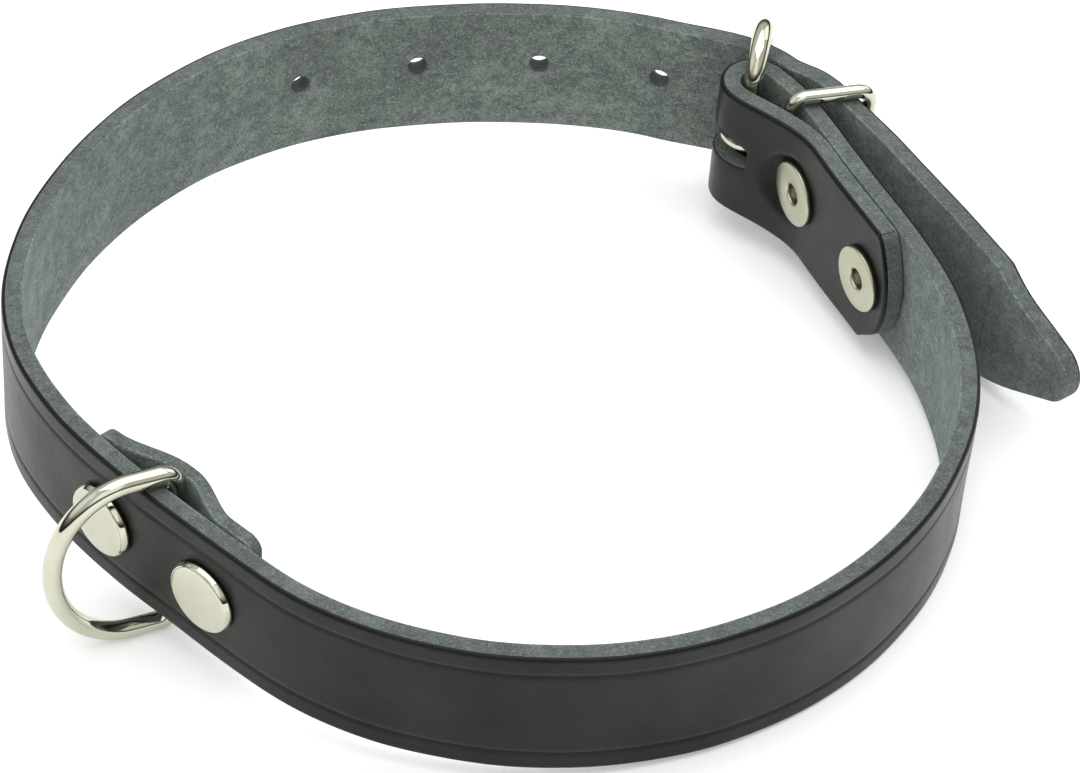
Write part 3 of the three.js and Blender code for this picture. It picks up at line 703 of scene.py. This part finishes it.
def draw_in_corner(near, from_edge, radius):
    """Draws a square corner in to a quarter circle: with u and v the shares from the corner's inner point to
    its sides, u shrinks by the root of 1 less half of v squared, and v likewise. Gives the x and z shifts and
    the distance from the round edge."""
    u = np.clip(1 - near / radius, 0, 1)
    v = np.clip(1 - from_edge / radius, 0, 1)
    round_u, round_v = u * np.sqrt(1 - v * v / 2), v * np.sqrt(1 - u * u / 2)
    edge = radius * (1 - np.hypot(round_u, round_v))
    return radius * (u - round_u), radius * (v - round_v), np.where((u > 0) & (v > 0), edge, np.inf)


def patch_outline(plan, line):
    """Grid of the patch laid flat: a rectangle whose corners are drawn in to quarter circles."""
    half, radius = plan.s.width / 2, plan.s.patch_corner
    along = np.concatenate([PATCH_ROWS, np.linspace(radius, line.length - radius, 34),
                            line.length - PATCH_ROWS[::-1]])
    across = np.concatenate([half - PATCH_ROWS, np.linspace(half - radius, radius - half, 26),
                             PATCH_ROWS[::-1] - half])
    x, z = np.meshgrid(along, across, indexing="ij")
    first = x < line.length / 2
    near, from_edge = np.where(first, x, line.length - x), half - np.abs(z)
    shift_x, shift_z, corner = draw_in_corner(near, from_edge, radius)
    edge = np.clip(np.minimum(corner, np.minimum(near, from_edge)), 0, None)
    return x + np.where(first, shift_x, -shift_x), z - np.sign(z) * shift_z + plan.mid_height, edge


class Maker:
    """What the operators of the pieces share: each has a make that is given the plan and its sizes."""

    def execute(self, context):
        plan = Plan()
        self.make(plan, plan.s, plan.h)
        return {"FINISHED"}


class COLLAR_OT_strap(Maker, bpy.types.Operator):
    """Makes the strap with its folded end, holes, slot and pointed tip"""

    bl_idname = "collar.strap"
    bl_label = "Strap"

    def make(self, plan, s, h):
        line = strap_line(plan)
        punched = s.hole_diameter / 2
        slot_top = plan.hole_height + h.prong_wire / 2 + s.seat_gap
        slot_from, slot_to = [np.interp(s.slot_reach, *run) for run in (line.flap_run, line.body_run)]
        holes = [Hole((slot_from + slot_to) / 2, slot_top - s.slot_width / 2, (slot_to - slot_from) / 2,
                      s.slot_width / 2, power=SLOT_POWER)]
        rivets = [(station, run) for station in plan.flap_rivets for run in (line.flap_run, line.body_run)]
        for station, run in rivets + [(station, line.body_run) for station in plan.patch_rivets]:
            holes.append(Hole(np.interp(station, *run), plan.mid_height, plan.stem, plan.stem))
        for station in plan.free_holes:
            holes.append(Hole(np.interp(station, *line.back_run), plan.hole_height, punched, punched))
        at, slant = prong_crossing(plan, line)
        holes.append(Hole(at, plan.hole_height, punched * math.hypot(1, slant), punched, slant=slant))
        crease = (s.crease_inset, s.crease_width, s.crease_depth, line.fold_run)
        seats = [Seat(plan, station, plan.flap_stack) for station in plan.flap_rivets]
        outline = strap_outline(plan, line)
        sheet = leather_sheet(line, outline, s.thickness, s.bevel, holes, seats, (True, False), crease)
        make_piece("strap_leather", "collar", ["strap"], "leather", leathers(), *sheet)


class COLLAR_OT_patch(Maker, bpy.types.Operator):
    """Makes the leather patch that holds the D-ring's bar"""

    bl_idname = "collar.patch"
    bl_label = "Ring patch"

    def make(self, plan, s, h):
        stations = np.linspace(-0.5, 0.5, 200) * s.patch_length + plan.patch_station
        line = Line(plan.point(stations, plan.patch(stations)))
        run = np.linspace(0, line.length, len(stations))
        holes = [Hole(np.interp(station, stations, run), plan.mid_height, plan.stem, plan.stem)
                 for station in plan.patch_rivets]
        seats = [Seat(plan, station, plan.patch_stack) for station in plan.patch_rivets]
        outline = patch_outline(plan, line)
        sheet = leather_sheet(line, outline, s.patch_thickness, PATCH_BEVEL, holes, seats, (True, True))
        make_piece("ring_patch_leather", "collar", ["ring_patch"], "suede", leathers()[::-1], *sheet)


# Wire


def arc(centre, radii, start, end, count):
    """Points of an elliptical arc: centre plus the radii times cosine and sine of an even run of angles."""
    turn = np.linspace(start, end, count) * DEG
    return np.stack([centre[0] + radii[0] * np.cos(turn), centre[1] + radii[1] * np.sin(turn)], 1)


def circle(around):
    """Angles of a closed circle in even steps."""
    return np.linspace(0, 2 * np.pi, around, endpoint=False)


def wire_loop(corners, origin, ahead, diameter):
    """Round wire along a closed upright outline cut into even steps: at each point a circle, spanned by the
    outline's normal and the direction square to its plane. The outline's first axis lies ahead in plan."""
    closed = distinct(np.vstack([corners, corners[:1]]))
    run = distances(closed)
    outline = follow(np.linspace(0, run[-1], LOOP_STEPS, endpoint=False), run, closed)
    before, after = np.roll(outline, 1, 0), np.roll(outline, -1, 0)
    along = (after - before) / np.linalg.norm(after - before, axis=1)[:, None]
    normal = np.stack([along[:, 1], -along[:, 0]], 1)
    turn = circle(LOOP_AROUND)
    flat = outline[:, None] + diameter / 2 * np.cos(turn)[None, :, None] * normal[:, None]
    out = diameter / 2 * np.sin(turn)[None] * np.ones((len(outline), 1))
    plan_xy = origin + flat[..., :1] * ahead - out[..., None] * to_right(ahead)
    points = np.concatenate([plan_xy, flat[..., 1:]], -1).reshape(-1, 3)
    return points, grid_faces(len(outline), LOOP_AROUND, wrap_rows=True, wrap_columns=True)


def wire_bend(path, diameter, height):
    """Round wire along an open path in plan, with a round nose at its last point and a rounded cut at its
    first: a circle at each point, spanned by the path's normal and the vertical."""
    radius = diameter / 2
    ends = np.linspace(0, np.pi / 2, 7)
    line = Line(path, smooth=3)
    start = WIRE_CUT * (1 - np.cos(ends))
    nose = line.length + radius * np.sin(ends) - radius
    run = np.concatenate([[0], start[:-1], np.linspace(WIRE_CUT, line.length - radius, BEND_STEPS), nose[1:]])
    size = np.concatenate([[0], radius - WIRE_CUT + WIRE_CUT * np.sin(ends[:-1]), np.full(BEND_STEPS, radius),
                           radius * np.cos(ends[1:])])[:, None]
    turn = circle(BEND_AROUND)
    plan_xy = line.at(np.repeat(run[:, None], BEND_AROUND, 1), size * np.cos(turn))
    z = height + size * np.sin(turn)
    points = np.concatenate([plan_xy, z[..., None]], -1).reshape(-1, 3)
    return points, grid_faces(len(run), BEND_AROUND, wrap_columns=True)


def prong_path(plan):
    """Plan of the prong: most of a circle round the frame's bar and a straight shank past the outer leg."""
    h, way = plan.h, plan.prong_way
    turn = np.linspace(2 * np.pi - h.prong_open, 0, 60)[:, None]
    eye = plan.bar + plan.prong_eye * (np.cos(turn) * to_right(way) - np.sin(turn) * way)
    run = np.linspace(0, plan.frame_across + h.frame_wire / 2 + h.prong_past + h.prong_wire / 2, 40)[1:, None]
    return np.vstack([eye, plan.prong_start + run * way])


def prong_crossing(plan, line):
    """Where the prong's shank crosses the strap under the free end: distance along the strap, and slant."""
    late = line.run > line.back_run[1][-1] - PRONG_SEARCH
    apart = (line.points - plan.prong_start) @ to_right(plan.prong_way)
    i = int(np.argmin(np.where(late, np.abs(apart), 1)))
    left = line.left[i]
    return line.run[i], float((plan.prong_way @ to_right(left)) / (plan.prong_way @ left))


class COLLAR_OT_buckle(Maker, bpy.types.Operator):
    """Makes the buckle's wire frame and its prong"""

    bl_idname = "collar.buckle"
    bl_label = "Buckle"

    def make(self, plan, s, h):
        half = plan.frame_across / 2
        heights = (plan.mid_height + h.frame_leg / 2, 180), (plan.mid_height - h.frame_leg / 2, 0)
        bows = [arc((half, z), (half, h.frame_bow), start, start - 180, 80) for z, start in heights]
        wire = wire_loop(np.vstack(bows), plan.bar, plan.prong_way, h.frame_wire)
        make_piece("buckle_frame_wire", "collar", ["buckle_frame"], "nickel", [nickel()], *wire)
        wire = wire_bend(prong_path(plan), h.prong_wire, plan.hole_height)
        make_piece("buckle_prong_wire", "collar", ["buckle_prong"], "nickel", [nickel()], *wire)


class COLLAR_OT_keeper(Maker, bpy.types.Operator):
    """Makes the wire keeper that holds the free end"""

    bl_idname = "collar.keeper"
    bl_label = "Keeper"

    def make(self, plan, s, h):
        reach = s.thickness / 2 + s.seat_gap + h.keeper_wire / 2
        far = h.keeper_station + h.keeper_skew
        inner = plan.point(h.keeper_station, -reach)
        over = plan.point(far, plan.tongue(far) + reach) - inner
        across, r = np.linalg.norm(over), h.keeper_corner
        high = s.width + s.seat_gap + h.keeper_wire / 2
        low = high - h.keeper_wire - s.width - h.keeper_play
        corners = ((r, high - r), (across - r, high - r), (across - r, low + r), (r, low + r))
        arcs = [arc(centre, (r, r), 180 - 90 * i, 90 - 90 * i, 20) for i, centre in enumerate(corners)]
        wire = wire_loop(np.vstack(arcs), inner, over / across, h.keeper_wire)
        make_piece("keeper_wire", "collar", ["keeper"], "nickel", [nickel()], *wire)


class COLLAR_OT_ring(Maker, bpy.types.Operator):
    """Makes the D-ring that swings about its bar"""

    bl_idname = "collar.ring"
    bl_label = "D-ring"

    def make(self, plan, s, h):
        high = s.width + s.seat_gap + h.ring_wire / 2
        low = high - h.ring_height
        r = h.ring_corner
        outline = np.vstack([
            arc((r, high - r), (r, r), 180, 90, 24),
            arc((h.ring_arm, (low + high) / 2), (h.ring_bow, h.ring_height / 2), 90, -90, 120),
            arc((r, low + r), (r, r), -90, -180, 24),
        ])
        out = plan.outward(plan.ring_station)
        ahead = math.cos(h.ring_swing) * out - math.sin(h.ring_swing) * to_right(out)
        wire = wire_loop(outline, plan.ring_bar, ahead, h.ring_wire)
        make_piece("d_ring_wire", "ring", ["d_ring"], "nickel", [nickel()], *wire)


# Rivets


def turned(profile, plan, station):
    """Solid turned from rows of radius and height about the line that points outward at a station, with its
    heights counted from the strap's outer face."""
    radius, height = profile.T
    out = plan.outward(station)
    origin = plan.point(station, plan.s.thickness / 2)
    turn = circle(RIVET_AROUND)
    aside = radius[:, None] * np.cos(turn)
    plan_xy = origin + aside[..., None] * to_right(out) + height[:, None, None] * out
    z = plan.mid_height + radius[:, None] * np.sin(turn)
    points = np.concatenate([plan_xy, z[..., None]], -1).reshape(-1, 3)
    return points, grid_faces(len(radius), RIVET_AROUND, wrap_columns=True)


def cap_profile(plan, stack):
    """Rivet cap in rows of radius and height: a pin with a round end, a rolled rim, and a face that is domed
    by a parabola."""
    h, gap, roll = plan.h, plan.s.seat_gap, CAP_ROLL
    radius, crown = h.cap_diameter / 2, gap + h.cap_thickness
    pin = h.stem_bore / 2 - PIN_PLAY
    pin_end = h.stem_recess - (stack + gap + h.flange_thickness)
    inward = np.linspace(0.8, 0, 5)[:, None]
    return np.vstack([
        arc((0, pin_end - PIN_OVER + pin), (pin, pin), -90, 0, 10),
        (pin, CAP_UNDER), (radius - roll, CAP_UNDER),
        arc((radius - roll, CAP_UNDER + roll), (roll, roll), -90, 20, 7),
        arc((radius - 1.5 * roll, crown - CAP_SHOULDER - roll), (roll, roll), 30, 88, 6),
        np.hstack([radius * inward, crown - CAP_DOME * inward ** 2]),
    ])


def post_profile(plan, stack):
    """Rivet post in rows of radius and height: a tube whose bore opens in a quarter circle into a flange,
    slightly dished and with a rolled rim."""
    h, roll, lip = plan.h, FLANGE_ROLL, BORE_LIP
    radius, bore = h.flange_diameter / 2, h.stem_bore / 2
    stem = bore + h.stem_wall
    under = -(stack + plan.s.seat_gap)
    face, back = under - h.flange_thickness, under + FLANGE_BACK
    return np.vstack([
        (bore, -TUBE_SHORT), arc((bore + lip, face + lip), (lip, lip), 180, 270, 7), (radius * 0.7, face),
        arc((radius - roll, face + roll + FLANGE_DISH), (roll, roll), -90, 0, 6),
        (radius, back), (stem, back), (stem, -TUBE_SHORT), (bore, -TUBE_SHORT),
    ])


class COLLAR_OT_rivets(Maker, bpy.types.Operator):
    """Makes the caps and posts of the four rivets"""

    bl_idname = "collar.rivets"
    bl_label = "Rivets"

    def make(self, plan, s, h):
        groups = (("flap", plan.flap_rivets, plan.flap_stack), ("patch", plan.patch_rivets, plan.patch_stack))
        parts = (("cap", cap_profile, nickel()), ("post", post_profile, satin_nickel()))
        for group, stations, stack in groups:
            for number, station in enumerate(stations, 1):
                for part, profile, plated in parts:
                    name = f"{group}_rivet_{number}_{part}"
                    solid = turned(profile(plan, stack), plan, station)
                    make_piece(f"{name}_turned", "collar", [name], "nickel", [plated], *solid)


# Materials


class Tree:
    """Short way to add and join nodes."""

    def __init__(self, tree):
        self.tree = tree

    def fill(self, made, inputs):
        """Join a node's inputs to sockets, or set them to values."""
        for key, value in inputs.items():
            if isinstance(value, bpy.types.NodeSocket):
                self.tree.links.new(value, made.inputs[key])
            else:
                made.inputs[key].default_value = value

    def node(self, kind, inputs, **settings):
        """Adds a node with its settings and inputs, and gives its outputs."""
        made = self.tree.nodes.new(kind)
        for key, value in settings.items():
            setattr(made, key, value)
        self.fill(made, inputs)
        return made.outputs

    def math(self, operation, a, b):
        return self.node("ShaderNodeMath", {0: a, 1: b}, operation=operation)[0]

    def times(self, a, b):
        return self.math("MULTIPLY", a, b)

    def plus(self, a, b):
        return self.math("ADD", a, b)

    def less(self, a):
        """One less the value."""
        return self.math("SUBTRACT", 1.0, a)

    def vector(self, operation, inputs):
        return self.node("ShaderNodeVectorMath", inputs, operation=operation)[0]

    def span(self, value, low, high, to_low=0.0, to_high=1.0):
        """Smooth step of a value from low to high, stretched to the second pair."""
        return self.node("ShaderNodeMapRange", {
            "Value": value, "From Min": low, "From Max": high, "To Min": to_low, "To Max": to_high,
        }, interpolation_type="SMOOTHSTEP")["Result"]

    def mix(self, factor, a, b):
        return self.node("ShaderNodeMix", {0: factor, 6: a, 7: b}, data_type="RGBA")[2]

    def noise(self, at, scale, detail, roughness=0.55):
        return self.node("ShaderNodeTexNoise", {
            "Vector": at, "Scale": scale, "Detail": detail, "Roughness": roughness,
        })["Fac"]

    def bump(self, height, strength, distance):
        return self.node("ShaderNodeBump", {
            "Strength": strength, "Distance": distance, "Height": height,
        })["Normal"]

    def attribute(self, name):
        return self.node("ShaderNodeAttribute", {}, attribute_name=name)["Fac"]

    def group(self, name, build, at):
        """Outputs of a node group with a vector input, made once. Build gives the group's named outputs."""
        made = bpy.data.node_groups.get(name)
        if made is None:
            made = bpy.data.node_groups.new(name, "ShaderNodeTree")
            made.interface.new_socket(name="Vector", in_out="INPUT", socket_type="NodeSocketVector")
            inside = Tree(made)
            values = build(inside, inside.node("NodeGroupInput", {})["Vector"])
            for label in values:
                made.interface.new_socket(name=label, in_out="OUTPUT", socket_type="NodeSocketFloat")
            inside.node("NodeGroupOutput", values)
        return self.node("ShaderNodeGroup", {"Vector": at}, node_tree=made)


def material(name, build):
    """Material made once. Build gives the inputs of its principled shader from the Object coordinates."""
    made = bpy.data.materials.get(name)
    if made is None:
        made = bpy.data.materials.new(name)
        made.use_nodes = True
        tree = Tree(made.node_tree)
        at = tree.node("ShaderNodeTexCoord", {})["Object"]
        tree.fill(made.node_tree.nodes["Principled BSDF"], build(tree, at))
    return made


def rgba(colour_value, scale=1.0):
    """Colour with its channels scaled, and an alpha of 1."""
    return (*[c * scale for c in colour_value], 1.0)


def pores(tree, at):
    """Fine leather grain: cells with thin valleys between them, pores, and slow patches of wear."""
    cells = tree.node("ShaderNodeTexVoronoi", {"Vector": at, "Scale": 1500.0}, feature="DISTANCE_TO_EDGE")
    valleys = tree.span(cells["Distance"], 0.0, 0.12)
    fine = tree.noise(at, 5200.0, 2.0)
    streaks = tree.node("ShaderNodeMapping", {"Vector": at, "Scale": (1.0, 1.0, 0.25)})[0]
    return {
        "Height": tree.plus(tree.times(valleys, 0.5), tree.times(fine, 0.6)),
        "Patches": tree.noise(at, 60.0, 4.0, 0.6),
        "Scuff": tree.span(tree.noise(streaks, 900.0, 5.0, 0.7), 0.52, 0.78),
    }


def nap(tree, at):
    """Suede nap: matted fibres, dark specks, pale fibre ends and cloudy dye."""
    bent = tree.noise(at, 700.0, 2.0)
    drift = tree.node("ShaderNodeTexNoise", {"Vector": at, "Scale": 500.0})["Color"]
    swirl = tree.vector("ADD", {0: at, 1: tree.vector("SCALE", {0: drift, "Scale": 0.0012})})
    matted = tree.noise(swirl, 1250.0, 5.0, 0.75)
    coarse = tree.noise(swirl, 420.0, 4.0, 0.65)
    specks = tree.span(tree.noise(swirl, 2300.0, 4.0, 0.78), 0.51, 0.58)
    stretched = tree.vector("MULTIPLY", {0: swirl, 1: (1.0, 1.0, 3.2)})
    marks = tree.span(tree.noise(stretched, 330.0, 5.0, 0.62), 0.58, 0.68)
    dye = tree.noise(at, 75.0, 5.0, 0.62)
    return {
        "Height": tree.plus(tree.times(matted, 0.7), tree.times(coarse, 0.8)),
        "Specks": tree.math("MAXIMUM", tree.times(specks, 0.62), tree.times(marks, 0.8)),
        "Fibres": tree.span(tree.noise(swirl, 3300.0, 4.0, 0.78), 0.55, 0.61),
        "Clouds": tree.plus(tree.times(dye, 0.75), tree.times(bent, 0.25)),
    }


def plating(tree, at):
    """Plated metal: faint handling marks and slow waviness left by bending and polishing."""
    return {
        "Marks": tree.span(tree.noise(at, 2400.0, 6.0, 0.75), 0.60, 0.82),
        "Waviness": tree.noise(at, 230.0, 2.0, 0.4),
        "Tarnish": tree.noise(at, 120.0, 4.0, 0.6),
    }


def grain_leather(tree, at):
    """Dyed grain side: near black, satin, with pores, rubbed patches, darker crease lines and edges."""
    f = finish_values()
    grain = tree.group("Leather grain", pores, at)
    crease = tree.span(tree.attribute("crease"), 0.25, 0.95)
    border = tree.less(tree.span(tree.attribute("edge"), 0.35, 1.2))
    dark = tree.math("MAXIMUM", tree.times(crease, 0.6), tree.times(border, 0.7))
    patches = tree.span(grain["Patches"], 0.35, 0.68)
    base = tree.mix(patches, rgba(f.grain_colour), rgba(f.grain_worn, 0.72))
    base = tree.mix(tree.times(grain["Scuff"], 0.22), base, rgba(f.grain_worn, 1.3))
    rough = tree.span(grain["Patches"], 0.3, 0.7, 0.37, 0.28)
    return {
        "Base Color": tree.mix(dark, base, rgba(f.grain_colour, 0.3)),
        "Roughness": tree.plus(rough, tree.times(grain["Scuff"], 0.10)),
        "Normal": tree.bump(grain["Height"], 0.22, 0.00012),
        "Specular IOR Level": 0.2,
        "Specular Tint": (0.93, 1.0, 0.91, 1.0),
    }


def suede(name, base_colour, specks_share, fibre_share):
    """Split or cut leather: cloudy grey-green dye, dark specks and pale fibre ends in a rough nap, with
    painted shade in and around the holes.
    """
    dark = finish_values().flesh_dark

    def build(tree, at):
        fuzz = tree.group("Suede nap", nap, at)
        clouds = tree.span(fuzz["Clouds"], 0.36, 0.66)
        base = tree.mix(clouds, rgba(base_colour, 0.72), rgba(base_colour, 1.18))
        mottle = tree.span(fuzz["Height"], 0.58, 0.92)
        base = tree.mix(mottle, tree.mix(0.62, base, rgba(dark)), base)
        base = tree.mix(tree.times(fuzz["Specks"], specks_share), base, rgba(dark))
        base = tree.mix(tree.times(fuzz["Fibres"], fibre_share), base, rgba(base_colour, 2.2))
        # Painted shade: the leather darkens inside the holes' tubes and the prong's slot, and near their rims
        painted_hole_shade = tree.less(tree.span(tree.attribute("hole"), -1.5, 0.8))
        return {
            "Base Color": tree.mix(tree.times(painted_hole_shade, 0.25), base, rgba(dark, 0.5)),
            "Normal": tree.bump(fuzz["Height"], 0.9, 0.0005),
            "Roughness": 0.95,
            "Specular IOR Level": 0.12,
            "Sheen Weight": 0.25,
            "Sheen Roughness": 0.6,
            "Sheen Tint": (0.75, 0.85, 0.85, 1.0),
        }

    return material(name, build)


def leathers():
    """Materials of a sheet by its sides: grain, cut edge and split side."""
    f = finish_values()
    grain = material("Black grain leather", grain_leather)
    cut = suede("Cut leather edge", f.edge_colour, 0.75, 0.55)
    return [grain, cut, suede("Split leather", f.flesh_colour, 0.85, 0.46)]


def metal(name, base_colour, roughness, mark_share, bump_distance):
    """Plated metal that darkens and yellows slowly from place to place."""
    tarnished = [value * keep for value, keep in zip(base_colour, (0.90, 0.87, 0.80))]

    def build(tree, at):
        finish = tree.group("Polished plating", plating, at)
        dull = tree.span(finish["Tarnish"], 0.35, 0.75)
        return {
            "Base Color": tree.mix(dull, rgba(base_colour), rgba(tarnished)),
            "Roughness": tree.plus(tree.times(finish["Marks"], mark_share), roughness),
            "Normal": tree.bump(finish["Waviness"], 0.35, bump_distance),
            "Metallic": 1.0,
        }

    return material(name, build)


def nickel():
    f = finish_values()
    return metal("Bright nickel", f.metal_colour, f.metal_roughness, 0.10, 0.0002)


def satin_nickel():
    f = finish_values()
    return metal("Satin nickel", f.flange_colour, f.flange_roughness, 0.12, 0.0001)


def pale_floor(tree, at):
    """White floor that glows a little, so that it stays white under the soft lamps."""
    return {
        "Base Color": tree.mix(tree.noise(at, 9.0, 2.0), (0.90, 0.90, 0.90, 1), (0.93, 0.93, 0.93, 1)),
        "Roughness": 0.9,
        "Specular IOR Level": 0.1,
        "Emission Color": (1, 1, 1, 1),
        "Emission Strength": 0.2,
    }


# Stage


class COLLAR_OT_stage(bpy.types.Operator):
    """Makes the floor, the lights and the camera"""

    bl_idname = "collar.stage"
    bl_label = "Stage"

    def execute(self, context):
        self.floor(context)
        self.world(context)
        self.lights(context)
        self.camera(context)
        return {"FINISHED"}

    def floor(self, context):
        half = FLOOR_HALF
        corners = [(-half, -half, 0), (half, -half, 0), (half, half, 0), (-half, half, 0)]
        mesh = bpy.data.meshes.new("floor")
        mesh.from_pydata(corners, [], [(0, 1, 2, 3)])
        mesh.materials.append(material("Pale floor", pale_floor))
        floor = bpy.data.objects.new("floor", mesh)
        context.scene.collection.objects.link(floor)

    def world(self, context):
        """Studio light that is bright overhead and falls to dark brown at the horizon."""
        world = bpy.data.worlds.new("Studio")
        context.scene.world = world
        world.use_nodes = True
        tree = Tree(world.node_tree)
        way = tree.node("ShaderNodeTexCoord", {})["Generated"]
        bright = tree.span(tree.node("ShaderNodeSeparateXYZ", {0: way})["Z"], 0.06, 0.46)
        shade = tree.mix(bright, (0.055, 0.045, 0.036, 1), (1.0, 1.0, 0.99, 1))
        tree.fill(world.node_tree.nodes["Background"], {"Color": shade, "Strength": WORLD_STRENGTH})

    def lights(self, context):
        for name, place, size, power in LAMPS:
            data = bpy.data.lights.new(name, "AREA")
            data.shape, data.size, data.energy = "SQUARE", size, power
            light = bpy.data.objects.new(name, data)
            light.location = place
            light.rotation_mode = "QUATERNION"
            light.rotation_quaternion = (Vector(place) - Vector(LAMP_AIM)).to_track_quat("Z", "Y")
            context.scene.collection.objects.link(light)
        context.scene.view_settings.view_transform = "Standard"

    def camera(self, context):
        """Camera above and before the collar, aimed at mid height."""
        right, up = Vector((1, 0, 0)), Vector((0, math.sin(ELEVATION), math.cos(ELEVATION)))
        back = Vector((0, -math.cos(ELEVATION), math.sin(ELEVATION)))
        rolled_right = right * math.cos(ROLL) - up * math.sin(ROLL)
        rolled_up = right * math.sin(ROLL) + up * math.cos(ROLL)
        turn = Matrix((rolled_right, rolled_up, back)).transposed().to_4x4()
        data = bpy.data.cameras.new("view")
        data.lens, data.sensor_width = LENS, SENSOR
        data.clip_start, data.clip_end = CLIP
        camera = bpy.data.objects.new("view", data)
        context.scene.collection.objects.link(camera)
        camera.matrix_world = collar_pose() @ Matrix.Translation(Vector(AIM) + back * DISTANCE) @ turn
        context.scene.camera = camera


class COLLAR_PT_panel(bpy.types.Panel):
    """Lists the collar's pieces and sizes"""

    bl_idname = "COLLAR_PT_panel"
    bl_label = "Leather Collar"
    bl_space_type = "VIEW_3D"
    bl_region_type = "UI"
    bl_category = "Collar"

    def draw(self, context):
        column = self.layout.column(align=True)
        for operator in OPERATORS:
            column.operator(operator.bl_idname)
        for name, item in GROUPS.items():
            box = self.layout.box()
            for key in item.__annotations__:
                box.prop(getattr(context.scene, name), key, text=key.replace("_", " ").capitalize())


GROUPS = {
    "collar_strap": CollarStrapSizes, "collar_hardware": CollarHardwareSizes, "collar_finish": CollarFinish,
}
OPERATORS = (COLLAR_OT_strap, COLLAR_OT_patch, COLLAR_OT_buckle, COLLAR_OT_keeper, COLLAR_OT_ring,
             COLLAR_OT_rivets, COLLAR_OT_stage)
CLASSES = (*GROUPS.values(), *OPERATORS, COLLAR_PT_panel)


def register():
    for item in CLASSES:
        bpy.utils.register_class(item)
    for name, item in GROUPS.items():
        setattr(bpy.types.Scene, name, PointerProperty(type=item))


def unregister():
    for name in GROUPS:
        delattr(bpy.types.Scene, name)
    for item in reversed(CLASSES):
        bpy.utils.unregister_class(item)


def main():
    register()
    bpy.ops.collar.strap()
    bpy.ops.collar.patch()
    bpy.ops.collar.buckle()
    bpy.ops.collar.keeper()
    bpy.ops.collar.ring()
    bpy.ops.collar.rivets()
    bpy.ops.collar.stage()


if __name__ == "__main__":
    main()
